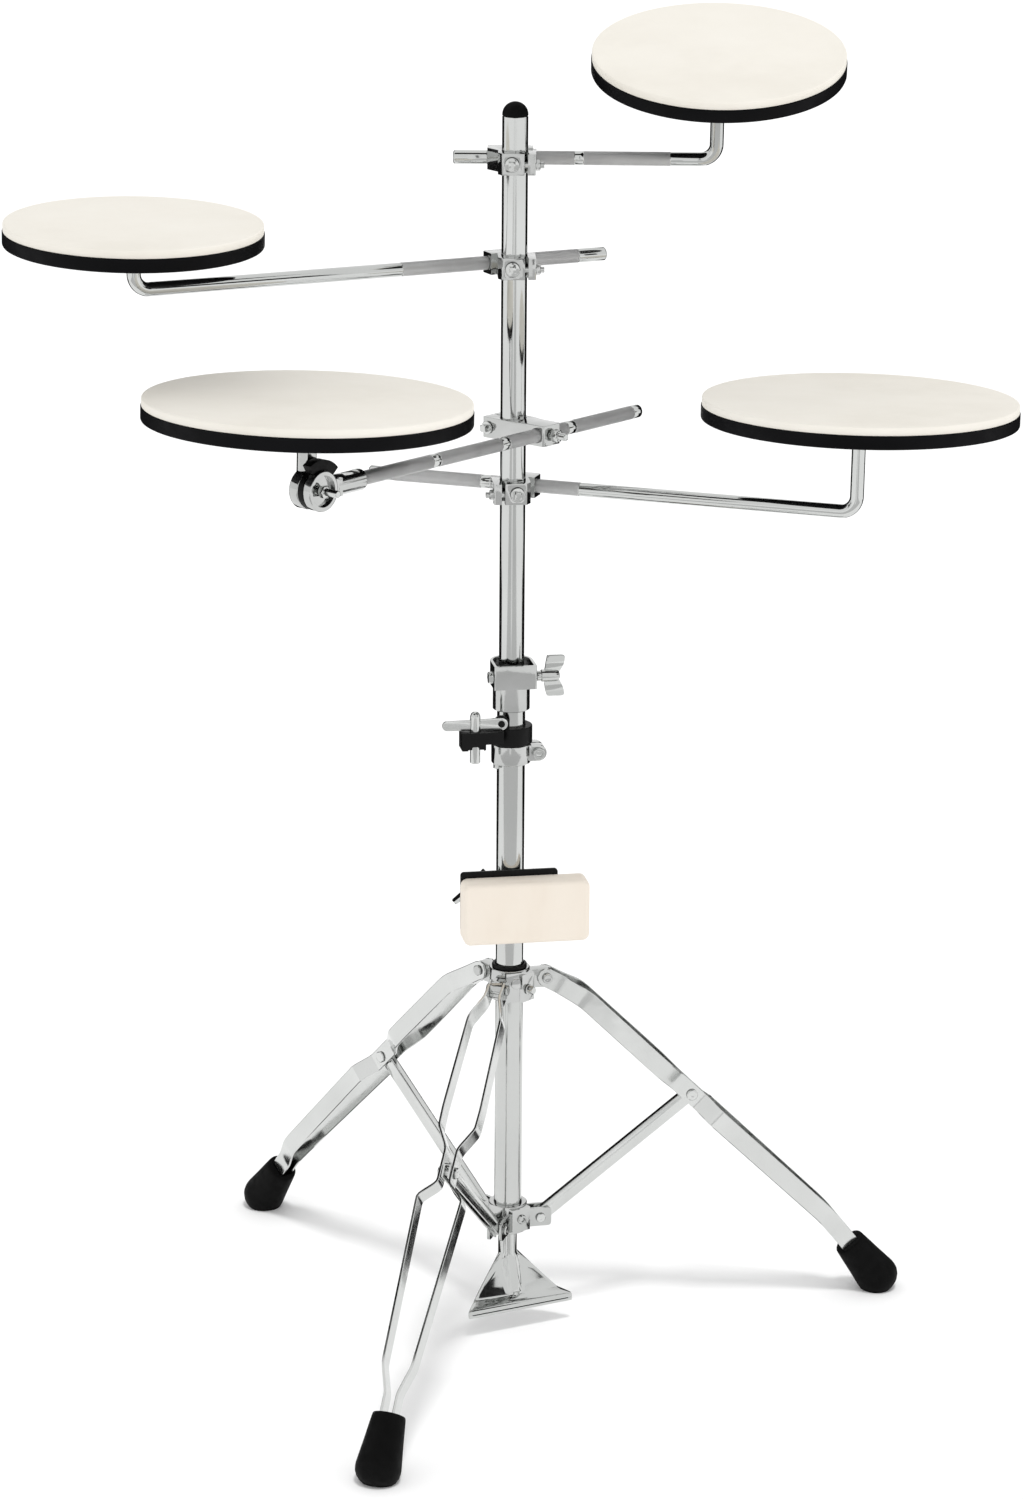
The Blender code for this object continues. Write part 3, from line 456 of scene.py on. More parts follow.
def key_screw(head_r, head_low, head_high, tip, shaft_r):
    """Drum-key screw along +Z: flange, square head with a turned end, shaft."""
    flange = rod(head_r, head_low, head_low + 1.3, segments=40, edge=0.4)
    square = block((-2.7, 2.7), (-2.7, 2.7), (head_low + 0.6, head_high))
    turned = lathe([(4.4, head_low), (3.9, head_high - 1.0), (2.7, head_high + 0.01)], segments=40)
    square = combine(square, [turned], "INTERSECT")
    return join(flange, square, rod(shaft_r, tip, head_low + 0.6, segments=32))


def wing_head(hub_r, hub_low, hub_high, wing, thickness):
    """Wing bolt's head along +Z: a domed hub with two flat wings."""
    hub = lathe([(hub_r, hub_low), (hub_r, hub_low + 2), (hub_r - 0.4, hub_high - 2.4),
                 (hub_r - 1.4, hub_high - 0.6), (hub_r - 2.6, hub_high), (0, hub_high + 0.05)], segments=40)
    for side in (1, -1):
        outline = [(side * x, z) for x, z in wing]
        join(hub, prism(outline, -thickness / 2, thickness / 2, UPRIGHT))
    return hub


# ---- stand ----------------------------------------------------------------
def soft_tube(inner, outer, low, high):
    edge = (outer - inner) * 0.35
    profile = [(inner, low + edge), (inner + edge, low), (outer - edge, low), (outer, low + edge),
               (outer, high - edge), (outer - edge, high), (inner + edge, high), (inner, high - edge)]
    return lathe(profile, segments=96, ring=True)


def stand_parts():
    finish(soft_tube(BASE_IR, BASE_OR, BASE_BOTTOM, BASE_TOP), "base_tube", "chrome", mast_frame(), 0)
    finish(soft_tube(TUBE_IR, TUBE_OR, TUBE_BOTTOM, TUBE_TOP), "upper_tube", "chrome", mast_frame(), 0)
    dome = [(8.9, -10.0), (8.9, 0.35), (10.2, 0.35), (10.5, 0.8)]
    dome += [(x, 1.4 + z * 10.2 / 10.5) for x, z in arc((0, 0), 10.5, 0, 84, 14)]
    finish(lathe(dome + [(0, 11.6)], segments=72), "top_cap", "foot", mast_frame(TUBE_TOP), 0, sharp=50)


def d_outline(half, front):
    """Round at the back, square with eased corners at the front."""
    corner = 1.5
    points = arc((half - corner, front + corner), corner, -90, 0, 4) + arc((0, 0), half, 0, 180, 40)
    return points + arc((-half + corner, front + corner), corner, 180, 270, 4)


BOLT_Y, BOLT_Z = -16.4, 581.0
# one wing: distance from the bolt's axis, then where its two ends lie along the axis
WING = ((3.5, 24.6, 37.0), (6.5, 24.9, 38.6), (9.0, 25.2, 39.9), (10.5, 25.4, 40.6), (13.0, 25.8, 41.1),
        (15.5, 26.4, 41.5), (16.6, 26.7, 41.2), (17.2, 27.4, 40.2), (17.4, 29.0, 38.6))
WING_BOW = 1.5


def dished_wing(side, thickness):
    """Wing plate bowed across its width, thinner towards its tip."""
    verts = []
    for x, low, high in WING:
        along_wing = (x - WING[0][0]) / (WING[-1][0] - WING[0][0])
        bow = WING_BOW * (1 - (2 * along_wing - 1) ** 2) * side
        half = thickness / 2 * (1 - 0.3 * along_wing)
        verts += [(side * x, bow - half, low), (side * x, bow + half, low), (side * x, bow + half, high),
                  (side * x, bow - half, high)]
    return loft(verts, 4)


def height_parts():
    body = prism(d_outline(17.8, -21.6), 571.0, 591.0)
    join(body, lathe([(15.0, 549.5), (15.5, 550.0), (15.5, 572.0)], segments=96))
    pocket = prism(d_outline(15.5, -19.4), 573.6, 600.0)
    bore = lathe([(12.1, 540), (12.1, 571.2), (10.9, 571.2), (10.9, 576)], segments=96)
    bolt_way = rod(2.8, -30, 30, RIGHT, (0, BOLT_Y, BOLT_Z), 32)
    cut(body, pocket, bore, bolt_way)
    finish(body, "height_clamp", "cast", FRONT, 0.55)

    bush = prism(arc((0, 0), 15.1, -62, 242, 80), 573.9, 588.6)
    cut(bush, rod(10.8, 560, 600, segments=96))
    # moulded slits that let the bush squeeze the tube
    for turn in (-20, 55, 125, 200):
        way = spin(turn)
        cut(bush, moved(block((11.6, 17.0), (-0.7, 0.7), (580.0, 600.0)), way))
    finish(bush, "height_bush", "nylon", FRONT, 0.3)

    body = lathe([(4.2, 18.4), (4.2, 21.6), (5.2, 22.2), (5.2, 34.0), (4.6, 36.2), (3.0, 37.0), (0, 37.1)],
                 segments=40)
    for side in (1, -1):
        join(body, dished_wing(side, 3.2))
    join(body, rod(2.5, -21.6, 20.0, segments=32), hexagon(9.0, -22.6, -18.3, UP))
    turn = Matrix(((0, 0, 1), NEAR, (1, 0, 0))).to_4x4()
    spot = FRONT @ Matrix.Translation((0, BOLT_Y, BOLT_Z)) @ turn
    finish(body, "height_wing_bolt", "chrome", spot, 0.7)


LEVER_PIVOT, LEVER_Y, PIN_X, PIN_Y = (-11.0, 541.0), (-17.9, -15.7), -33.0, -16.8
EAR_X, EAR_Z = 22.0, 512.0


def index_parts():
    body = rod(17.75, 520.4, 535.5, segments=96, edge=0.7)
    arm = [(-45, 520.9), (-44.5, 520.4), (-26, 520.4)] + arc((-26, 521.6), 1.2, -90, 0, 3)
    arm += [(-24.8, 525.4), (-10, 525.4), (-10, 535.5), (-45, 535.5)]
    join(body, prism(arm, 7.0, 23.2, UPRIGHT))
    ear = [(-17.2, 533.0), (-4.8, 533.0)] + arc(LEVER_PIVOT, 6.4, -15, 195, 28)
    join(body, prism(ear, 12.9, 15.3, UPRIGHT))
    stub = lathe([(1.7, 14.0), (1.7, 18.2), (2.7, 18.2), (2.7, 18.8), (2.2, 19.2)], (0, -1, 0),
                 (LEVER_PIVOT[0], 0, LEVER_PIVOT[1]), 32)
    join(body, stub)
    cut(body, rod(12.1, 510, 545, segments=96), rod(4.6, 510, 545, origin=(PIN_X, PIN_Y, 0)))
    # relief cut round the pin at the foot of the arm
    cut(body, block((PIN_X - 6.6, PIN_X + 6.6), (-30, -20.2), (515.0, 523.6)))
    finish(body, "index_clamp", "coat", FRONT, 0.5)

    outline = arc((0, 0), 5.2, -90, 90, 20) + [(-30, 4.6), (-45.5, 4.2)]
    outline += arc((-45.5, 0), 4.2, 90, 270, 16) + [(-30, -4.6)]
    lever = prism(outline, -LEVER_Y[1], -LEVER_Y[0], UPRIGHT)
    cut(lever, rod(2.0, 10, 25, NEAR, segments=32))
    pivot = Matrix.Translation((LEVER_PIVOT[0], 0, LEVER_PIVOT[1]))
    finish(lever, "index_lever", "strip", FRONT @ pivot, 0.35)

    profile = [(3.4, 508.2), (4.1, 508.6), (4.3, 509.4), (4.3, 547.8), (4.1, 549.2),
               (3.4, 551.0), (1.9, 552.2), (0, 552.6)]
    pin = lathe(profile, segments=48)
    cut(pin, block((-8, 8), (LEVER_Y[0] - PIN_Y - 0.35, LEVER_Y[1] - PIN_Y + 0.35), (535.0, 547.0)))
    finish(pin, "index_pin", "chrome", FRONT @ Matrix.Translation((PIN_X, PIN_Y, 0)), 0.25)

    body = rod(16.5, 503.2, 519.8, segments=96, edge=0.9)
    ear = [(12, 505.2), (22.0, 505.2)] + arc((EAR_X, EAR_Z), 6.8, -80, 80, 20) + [(12, 518.8)]
    join(body, prism(ear, -8.5, 8.5, UPRIGHT))
    lug = moved(block((13.0, 16.2), (-2.2, 2.2), (499.6, 505.0)), spin(205))
    join(body, lug)
    cut(body, rod(12.1, 490, 530, segments=96), block((5, 40), (-1.1, 1.1), (490, 530)),
        rod(2.3, -15, 15, AWAY, (EAR_X, 0, EAR_Z), 32))
    finish(body, "memory_ring", "cast", FRONT, 0.5)
    head = join(rod(5.0, 8.8, 12.4, edge=0.6), rod(2.0, -9.5, 9.5, segments=32))
    cut(head, lathe([(2.9, 10.2), (2.9, 14.0)], segments=6))
    finish(head, "memory_screw", "chrome", FRONT @ along(NEAR, (EAR_X, 0, EAR_Z)), 0.2)


# ---- tripod ---------------------------------------------------------------
HUB_Z, HUB_SCREW_AZ, HUB_SCREW_Z, HUB_BOSS_AZ = (296.0, 323.0), -42.0, 307.0, -72.0
COLLAR_BOSS_AZ = -52.0


def rivet(axis, centre, neck, heads, half, reach):
    """Pivot pin with a slightly domed, dimpled head at both ends."""
    upper = [(neck, half), (heads, half), (heads, reach - 0.7), (heads - 0.5, reach - 0.2),
             (heads - 1.6, reach), (1.2, reach - 0.5)]
    return lathe([(r, -z) for r, z in reversed(upper)] + upper, axis, centre, 40)


def hub_parts():
    body = rod(17.2, HUB_Z[0], HUB_Z[1], segments=96, edge=0.8)
    facing = spin(HUB_SCREW_AZ)
    screw_way = facing @ Vector(RIGHT)
    join(body, moved(block((0, 21.6), (-7.5, 7.5), (HUB_Z[0] + 0.7, HUB_Z[1] - 2.0)), facing))
    beside = spin(HUB_BOSS_AZ)
    join(body, moved(block((0, 19.5), (-9.0, 9.0), (HUB_Z[0] + 0.7, HUB_Z[1] - 0.6)), beside))
    join(body, rod(4.7, 17.0, 20.6, beside @ Vector(RIGHT), (0, 0, 313.0), 48, 0.6))
    for azimuth in LEG_AZIMUTHS.values():
        turn = spin(azimuth)
        outline = [(10, 303.5), (30, 303.5)] + arc(HUB_PIVOT, 7.6, -60, 90, 18) + [(10, 319.3)]
        lug = prism(outline, -4.8, 4.8, turn @ UPRIGHT)
        centre = turn @ Vector((HUB_PIVOT[0], 0, HUB_PIVOT[1]))
        join(body, lug, rivet(turn @ Vector(AWAY), centre, 2.7, 4.4, 7.8, 9.6))
    cut(body, rod(13.6, HUB_Z[0] - 5, HUB_Z[1] + 5, segments=96),
        rod(2.75, 8, 26, screw_way, (0, 0, HUB_SCREW_Z), 32))
    finish(body, "leg_hub", "cast", mast_frame(), 0.45)
    bush = lathe([(12.1, 297.0), (13.3, 297.0), (13.3, 323.3), (14.5, 323.3), (14.8, 323.6),
                  (14.8, 325.0), (14.3, 325.9), (13.4, 326.2), (12.5, 326.1), (12.1, 325.6)],
                 segments=96, ring=True)
    finish(bush, "hub_bush", "nylon", mast_frame(), 0)
    screw = key_screw(4.3, 22.0, 28.0, 14.0, 2.45)
    finish(screw, "hub_key_screw", "chrome", mast_frame(HUB_SCREW_Z) @ along(screw_way), 0.3)


def collar_part():
    body = rod(16.5, 84.0, 109.0, segments=96, edge=0.8)
    for azimuth in LEG_AZIMUTHS.values():
        turn = spin(azimuth)
        standing = turn @ UPRIGHT
        outline = [(12, 86.0), (34.0, 86.0)] + arc((34.0, 89.0), 3.0, -90, 0, 5)
        outline += arc((34.0, 99.4), 3.0, 0, 90, 5) + [(12, 102.4)]
        for low, high in ((-6.6, -4.0), (4.0, 6.6)):
            join(body, prism(outline, low, high, standing))
        centre = turn @ Vector((COLLAR_PIVOT[0], 0, COLLAR_PIVOT[1]))
        cut(body, rod(2.75, -9, 9, turn @ Vector(AWAY), centre, 32))
    facing = spin(COLLAR_BOSS_AZ)
    join(body, moved(block((8, 19.0), (-9.5, 9.5), (86.5, 107.5)), facing))
    join(body, lathe([(4.2, 15), (4.2, 20.2), (3.4, 21.2), (2.2, 21.4), (1.9, 19.9), (0, 19.8)],
                     facing @ Vector(RIGHT), (0, 0, 98.0), 40))
    cut(body, lathe([(8.4, 80), (8.4, 87.6), (12.1, 87.6), (12.1, 112)], segments=96))
    finish(body, "lower_collar", "cast", mast_frame(), 0.5)


PEDAL_YAW = 25.8
# down the plate: distance towards the player, height, half width
PEDAL_LINE = ((0.0, 62.0, 8.5), (4.0, 53.5, 16.3), (8.0, 45.0, 24.2), (12.0, 36.5, 32.0),
              (15.2, 29.7, 38.3), (16.9, 27.6, 40.6), (21.0, 26.1, 44.4), (25.0, 24.6, 48.2),
              (26.3, 23.7, 49.0), (26.8, 22.4, 49.0), (26.3, 21.4, 49.0), (26.8, 20.5, 49.0),
              (26.8, 18.5, 48.7))


PEDAL_HALF_T, PEDAL_STEPS, RIB_RISE, RIB_ROWS = 1.25, 24, 6.4, 5


def pedal_plate():
    """Flattened stem with a pressed central rib and a folded lip."""
    count, steps = len(PEDAL_LINE), PEDAL_STEPS
    verts = []
    for k, (out, z, half) in enumerate(PEDAL_LINE):
        before, after = PEDAL_LINE[max(k - 1, 0)], PEDAL_LINE[min(k + 1, count - 1)]
        step = Vector((after[0] - before[0], after[1] - before[1])).normalized()
        inward = Vector((step[1], -step[0]))
        rise = RIB_RISE * (1.0 - k / RIB_ROWS) ** 0.5 if k < RIB_ROWS else 0.0
        width = 7.2 - 0.55 * min(k, RIB_ROWS)
        # the rib stands proud on the near side and less on the far side
        for side, share in ((1, 0.35), (-1, 1.0)):
            for j in range(steps + 1):
                x = half * (2 * j / steps - 1) * side
                thick = PEDAL_HALF_T + share * rise * math.exp(-((x / width) ** 4))
                edge = 1.0 if 0 < j < steps else 0.72
                offset = inward * thick * side * edge
                verts.append((x, -(out + offset[0]), z + offset[1]))
    sheet = loft(verts, 2 * (steps + 1))
    stem = rod(8.0, 60.0, 190.0, segments=72, edge=0.8)
    rib_profile = [(7.6, -3), (7.0, 2), (5.7, 18), (4.4, 34), (2.6, 38.5), (0, 40.0)]
    rib = lathe(rib_profile, Vector((0, -16.0, -34.0)), (0, 0, 62.0), 48)
    join(sheet, stem, rib)
    finish(sheet, "pedal_plate", "chrome", mast_frame(0, PEDAL_YAW), 0.3, sharp=50)


def leg_point(distance):
    """Point on the leg's centre line, measured from the hub pivot."""
    start = Vector(HUB_PIVOT)
    travelled = -(start - Vector(LEG_LINE[0])).length
    for a, b in zip(LEG_LINE, LEG_LINE[1:]):
        a, b = Vector(a), Vector(b)
        length = (b - a).length
        point = a + (b - a).normalized() * (distance - travelled)
        travelled += length
        if distance <= travelled:
            break
    return point


def spread_at(distance):
    """How far a strip stands from the leg's middle plane."""
    for (s0, t0), (s1, t1) in zip(SPREAD, SPREAD[1:]):
        if distance <= s1:
            return t0 + (t1 - t0) * (distance - s0) / (s1 - s0)
    return SPREAD[-1][1]


def eased(value, distance, window):
    """Average over a window, so the bends are rounded as in pressed strip."""
    spots = [distance + window * (k / 6.0 - 0.5) for k in range(7)]
    total = value(spots[0])
    for spot in spots[1:]:
        total = total + value(spot)
    return total / len(spots)


def leg_strip(side):
    stations = [-STRIP_W / 2 + 0.4 + k * (STRIP_END + STRIP_W / 2 - 0.4) / 160 for k in range(161)]
    centre = {s: eased(leg_point, s, 14.0) for s in stations}
    spread = {s: eased(spread_at, s, 5.0) if 8 <= s <= 375 else spread_at(s) for s in stations}
    verts = []
    half, deep, corner = STRIP_W / 2, STRIP_T / 2, 0.45
    section = [(-half + corner, -deep), (half - corner, -deep), (half, -deep + corner),
               (half, deep - corner), (half - corner, deep), (-half + corner, deep),
               (-half, deep - corner), (-half, -deep + corner)]
    for k, s in enumerate(stations):
        a, b = stations[max(k - 1, 0)], stations[min(k + 1, len(stations) - 1)]
        way = (centre[b] - centre[a]).normalized()
        across = Vector((-way[1], way[0]))
        slope = (spread[b] - spread[a]) / (b - a)
        lean = Vector((-slope, 1.0)).normalized()
        # the first few millimetres are rounded off around the pivot
        trim = max(math.sqrt(max(0.0, 1.0 - (min(s, 0.0) / half) ** 2)), 0.35)
        for edge, face in section:
            flat = centre[s] + across * edge * trim + way * lean[0] * face
            verts.append((flat[0], side * (spread[s] + lean[1] * face), flat[1]))
    return cut(loft(verts, len(section)), rod(3.0, -30, 30, AWAY, (HUB_PIVOT[0], 0, HUB_PIVOT[1]), 32),
               rod(3.5, -30, 30, AWAY, (MID_PIVOT[0], 0, MID_PIVOT[1]), 32))


def strut():
    low, high = Vector(COLLAR_PIVOT), Vector(MID_PIVOT)
    length, way = (high - low).length, (high - low).normalized()
    half, deep, wall = STRUT_W / 2, STRUT_H / 2, STRUT_WALL
    outline = arc((half - 1.6, deep - 1.6), 1.6, 0, 90, 5)
    outline += arc((-half + 1.6, deep - 1.6), 1.6, 90, 180, 5)
    outline += [(-half, -deep), (wall - half, -deep), (wall - half, deep - wall - 0.4),
                (wall - half + 0.4, deep - wall), (half - wall - 0.4, deep - wall),
                (half - wall, deep - wall - 0.4), (half - wall, -deep), (half, -deep)]
    body = prism(outline, -6.5, length + 7.0)
    cut(body, block((-10, 10), (2.0, 10), (-10, 0.5)))
    join(body, rivet(RIGHT, (0, 0, 0), 2.4, 4.1, 7.0, 8.6),
         rivet(RIGHT, (0, 0, length), 2.5, 4.9, 6.7, 8.4))
    across, forward = Vector((0, 1, 0)), Vector((way[0], 0, way[1]))
    web = across.cross(forward) * -1.0
    turn = Matrix((across, web, forward)).transposed().to_4x4()
    return moved(body, Matrix.Translation((low[0], 0, low[1])) @ turn)


def foot():
    slope = math.radians(FOOT_SLOPE)
    way = Vector((math.cos(slope), 0, -math.sin(slope)))
    profile = [(0, 0.0), (12.2, 0.0), (13.1, 0.3), (13.5, 1.0), (13.8, 2.6), (14.6, 9.0), (16.3, 24.0),
               (18.1, 38.0), (18.6, 42.0), (18.6, 45.0), (18.0, 48.6), (16.2, 52.2), (13.5, 55.2),
               (10.0, 57.4), (5.8, 58.7), (0, 59.2)]
    body = lathe(profile, way, (FOOT_TOP[0], 0, FOOT_TOP[1]), 72)
    centre = leg_point(STRIP_END - 10)
    heading = (centre - leg_point(STRIP_END - 20)).normalized()
    spot = Matrix.Translation((centre[0], 0, centre[1])) @ along((heading[0], 0, heading[1]))
    pocket = moved(block((-8.4, 8.4), (-6.7, 6.7), (-25, 10.6)), spot)
    return cut(body, pocket, block((200, 420), (-60, 60), (-60, 0)))


def legs():
    for name, azimuth in LEG_AZIMUTHS.items():
        spot = mast_frame(0, azimuth)
        finish(leg_strip(1), "leg_%s_strip_a" % name, "strip", spot, 0, sharp=30)
        finish(leg_strip(-1), "leg_%s_strip_b" % name, "strip", spot, 0, sharp=30)
        finish(strut(), "leg_%s_strut" % name, "strip", spot, 0.25)
        finish(foot(), "leg_%s_foot" % name, "foot", spot, 0, sharp=45)


# ---- kick pad -------------------------------------------------------------
KICK_X, KICK_Z, KICK_BACK, KICK_FRONT = (-45.0, 61.5), (354.8, 407.8), -15.7, -38.0
KICK_BOLT = (-34.5, 395.0)


def kick_block():
    """Rubber block with a soft front edge, as rounded rectangles from back to front."""
    edge = 3.4
    layers = [(-KICK_BACK, 1.2), (-KICK_BACK + 0.4, 0.4), (-KICK_BACK + 1.2, 0.0)]
    layers += arc((-KICK_FRONT - edge, edge), edge, -90, 0, 6)
    verts = []
    for depth, inset in layers:
        ring = rounded((KICK_X[0] + inset, KICK_X[1] - inset), (KICK_Z[0] + inset, KICK_Z[1] - inset),
                       max(6.0 - inset, 2.0), 8)
        verts += [(x, -depth, z) for x, z in ring]
    return loft(verts, len(verts) // len(layers))


def kick_parts():
    finish(kick_block(), "kick_pad", "kick", FRONT, 0, sharp=60)
    bolt_way = (KICK_BOLT[0], 0, KICK_BOLT[1])
    plate = prism(rounded((-44.5, 38.0), (360.0, 412.5), 3.0), 12.3, 15.4, UPRIGHT)
    cut(plate, rod(2.8, 5, 25, NEAR, bolt_way, 32))
    finish(plate, "kick_plate", "coat", FRONT, 0.5)

    outer = [(-42.0, -9.0), (-15.2, -9.0), (-15.2, 0)] + arc((0, 0), 15.2, 176, 4, 40)
    outer += [(15.2, 0), (15.2, -9.0), (26.0, -9.0), (26.0, -12.0), (12.2, -12.0), (12.2, 0)]
    outer += arc((0, 0), 12.2, 4, 176, 40) + [(-12.2, 0), (-12.2, -12.0), (-42.0, -12.0)]
    strap = prism(outer, 386.0, 404.0)
    cut(strap, rod(2.8, 5, 25, NEAR, bolt_way, 32))
    finish(strap, "kick_strap", "coat", FRONT, 0.4)

    wing = ((2.5, 0.6), (9.0, 2.0), (17.0, 4.6), (18.5, 6.0), (18.9, 12.0), (17.8, 13.2), (10.0, 11.5),
            (3.0, 7.5))
    body = wing_head(4.4, 0.3, 8.0, wing, 3.0)
    join(body, rod(2.45, -6.0, 1.0, segments=32))
    place = Matrix.Translation((KICK_BOLT[0], -9.0, KICK_BOLT[1]))
    finish(body, "kick_wing_bolt", "chrome",
           FRONT @ place @ along(AWAY) @ spin(-45), 0.6)


# ---- clamps, arms and pads ------------------------------------------------
CLAMP_KEY_X, CLAMP_STUD = -2.0, (0, -14.6, -0.9)


def arm_clamp(name, z, face, yaw, mirror):
    m = -1.0 if mirror else 1.0
    key_at = (m * CLAMP_KEY_X, 0, 0)
    spot = mast_frame(z, face)
    aside = spin(yaw - face)

    def side(points):
        return [(m * x, y) for x, y in points]

    outline = side([(-9.8, -19.0), (7.9, -19.0), (7.9, -9.2), (7.4, -7.4), (7.4, 18.0), (-13.4, 18.0),
                    (-13.4, -13.0)])
    body = prism(outline, -8.7, 8.7)
    left = [(-13.4, 28.0), (-15.0, 26.4), (-15.0, 11.4)]
    if name == "high_right":
        left = [(-20.9, 28.0), (-22.5, 26.4), (-22.5, 12.5), (-13.4, 0.0), (-12.0, 11.4)]
    arm_side = [(7.4, 13.2), (14.2, 14.2), (14.2, 26.6), (12.6, 28.0)] + left
    join(body, prism(side(arm_side), -8.7, 8.7, aside))
    arm_bore = moved(rod(5.9, -40, 40, RIGHT, (0, ROD_OFFSET, 0), 48), aside)
    cut(body, rod(10.8, -20, 20, segments=72), arm_bore,
        rod(2.7, 9.0, 25, NEAR, key_at, 32), rod(2.8, 3.0, 14, (m, 0, 0), CLAMP_STUD, 32))
    # shallow recess round the key screw
    cut(body, rod(6.3, 18.4, 25, NEAR, key_at))
    finish(body, "clamp_%s_body" % name, "cast", spot, 0.8)

    outline = side([(10.8, -19.0), (16.0, -19.0), (17.0, -18.0), (17.0, 12.6), (9.4, 12.6), (9.4, -7.2),
                    (10.8, -9.2)])
    jaw = prism(outline, -8.5, 8.3)
    cut(jaw, rod(10.8, -20, 20, segments=72))
    stud = rod(2.4, 5.4, 23.6, (m, 0, 0), CLAMP_STUD, 32, edge=0.5)
    join(jaw, stud, hexagon(7.6, 16.8, 20.6, (m, 0, 0), CLAMP_STUD))
    finish(jaw, "clamp_%s_jaw" % name, "cast", spot, 0.6)

    screw = key_screw(5.6, 19.3, 25.6, 11.2, 2.4)
    finish(screw, "clamp_%s_key_screw" % name, "chrome", spot @ along(NEAR, key_at), 0.3)


def swept_arm(path, across, marks):
    """Rod through path points; marks give (length, radius, look) along it."""
    lengths = [0.0]
    for (a, _), (b, _) in zip(path, path[1:]):
        lengths.append(lengths[-1] + (b - a).length)

    def place(s):
        for k in range(len(path) - 1):
            if s <= lengths[k + 1] or k == len(path) - 2:
                span = lengths[k + 1] - lengths[k]
                t = (s - lengths[k]) / span if span else 0.0
                (p0, w0), (p1, w1) = path[k], path[k + 1]
                return p0.lerp(p1, t), w0.lerp(w1, t).normalized()

    stations = list(marks) + [(s, ROD_R, 0) for s in lengths[1:-1]]
    stations.sort(key=lambda row: row[0])
    segments = 48
    verts = []
    for s, radius, _ in stations:
        at, way = place(min(max(s, 0.0), lengths[-1]))
        second = way.cross(across)
        for k in range(segments):
            a = 2 * math.pi * k / segments
            verts.append(at + (across * math.cos(a) + second * math.sin(a)) * radius)
    obj = loft(verts, segments)
    obj.data.materials.append(MATS["chrome"])
    obj.data.materials.append(MATS["knurl"])
    # unroll the rod, in millimetres round it and along it
    layer = obj.data.uv_layers.new(name="knurl")
    for face in range((len(stations) - 1) * segments):
        row, column = divmod(face, segments)
        polygon = obj.data.polygons[face]
        polygon.material_index = stations[row][2]
        for loop in polygon.loop_indices:
            station, q = divmod(obj.data.loops[loop].vertex_index, segments)
            turned = column if q == column else column + 1
            layer.data[loop].uv = (ROD_R * 2 * math.pi * turned / segments, stations[station][0])
    return obj


def knurl_marks(zones, start, end):
    """Stations along a rod: rounded ends, knurled zones between small grooves."""
    marks = [(0.0, ROD_R - 1.6, 0), (0.25, ROD_R - 0.9, 0), (0.8, ROD_R - 0.3, 0), (1.6, ROD_R, 0)]
    for low, high in zones:
        a, b = low - start, high - start
        marks += [(a - 0.5, ROD_R, 0), (a, ROD_R - 0.18, 0), (a + 0.4, ROD_R, 1), (b - 0.4, ROD_R, 0),
                  (b, ROD_R - 0.18, 0), (b + 0.5, ROD_R, 0)]
    return marks + end


def bent_arm(name, data):
    azimuth, roll = math.radians(data["azimuth"]), math.radians(data["roll"])
    out = Vector((math.cos(azimuth), math.sin(azimuth), 0))
    away = Vector((-out[1], out[0], 0))
    if away[1] < 0:
        away = -away
    up = UP * math.cos(roll) + away * math.sin(roll)
    base = Vector((MAST_X, MAST_Y, data["arm_z"])) + away * ROD_OFFSET
    bend = base + out * data["reach"]
    centre = bend + up * data["post"]
    path = [(base - out * data["tail"], out), (bend - out * ROD_BEND, out)]
    for k in range(1, 17):
        a = math.radians(90 * k / 16)
        at = bend + out * (math.sin(a) - 1) * ROD_BEND + up * (1 - math.cos(a)) * ROD_BEND
        path.append((at, out * math.cos(a) + up * math.sin(a)))
    path.append((centre - up * (BOARD_T - 5.6), up))
    total = sum((b - a).length for (a, _), (b, _) in zip(path, path[1:]))
    end = [(total - 0.6, ROD_R, 0), (total, ROD_R - 0.6, 0)]
    marks = knurl_marks(data["knurl"], -data["tail"], end)
    arm = swept_arm(path, out.cross(up), marks)
    finish(arm, "arm_%s" % name, ["chrome", "knurl"], Matrix.Identity(4), 0)
    return centre, up


def pad(name, radius, centre, up):
    spot = Matrix.Translation(centre) @ along(up)
    edge = 1.3
    top = radius - 0.6
    rubber = [(0, 0.15), (top - 0.3, 0.15), (top, 0.45)]
    rubber += arc((top - edge, RUBBER_T - edge), edge, 0, 90, 6)
    rubber += [(r, RUBBER_T) for r in (top - 4, top - 20, top * 0.6, top * 0.3, 0)]
    finish(lathe(rubber, segments=160), "pad_%s_rubber" % name, "rubber", spot, 0, sharp=60)
    low = -BOARD_T
    base = low - BOSS_T
    board = [(0, -0.15), (radius - 0.5, -0.15), (radius, -0.6), (radius, low + 1.4),
             (radius - 0.4, low + 0.5), (radius - 1.4, low), (BOSS_R + 1.2, low), (BOSS_R + 0.2, low - 0.4),
             (BOSS_R - 0.2, low - 1.4), (BOSS_R - 1.4, base + 0.6), (BOSS_R - 2.0, base),
             (ROD_R + 0.9, base), (ROD_R + GAP, base + 0.6), (ROD_R + GAP, low + 6.2), (0, low + 6.2)]
    finish(lathe(board, segments=160), "pad_%s_board" % name, "board", spot, 0, sharp=40)


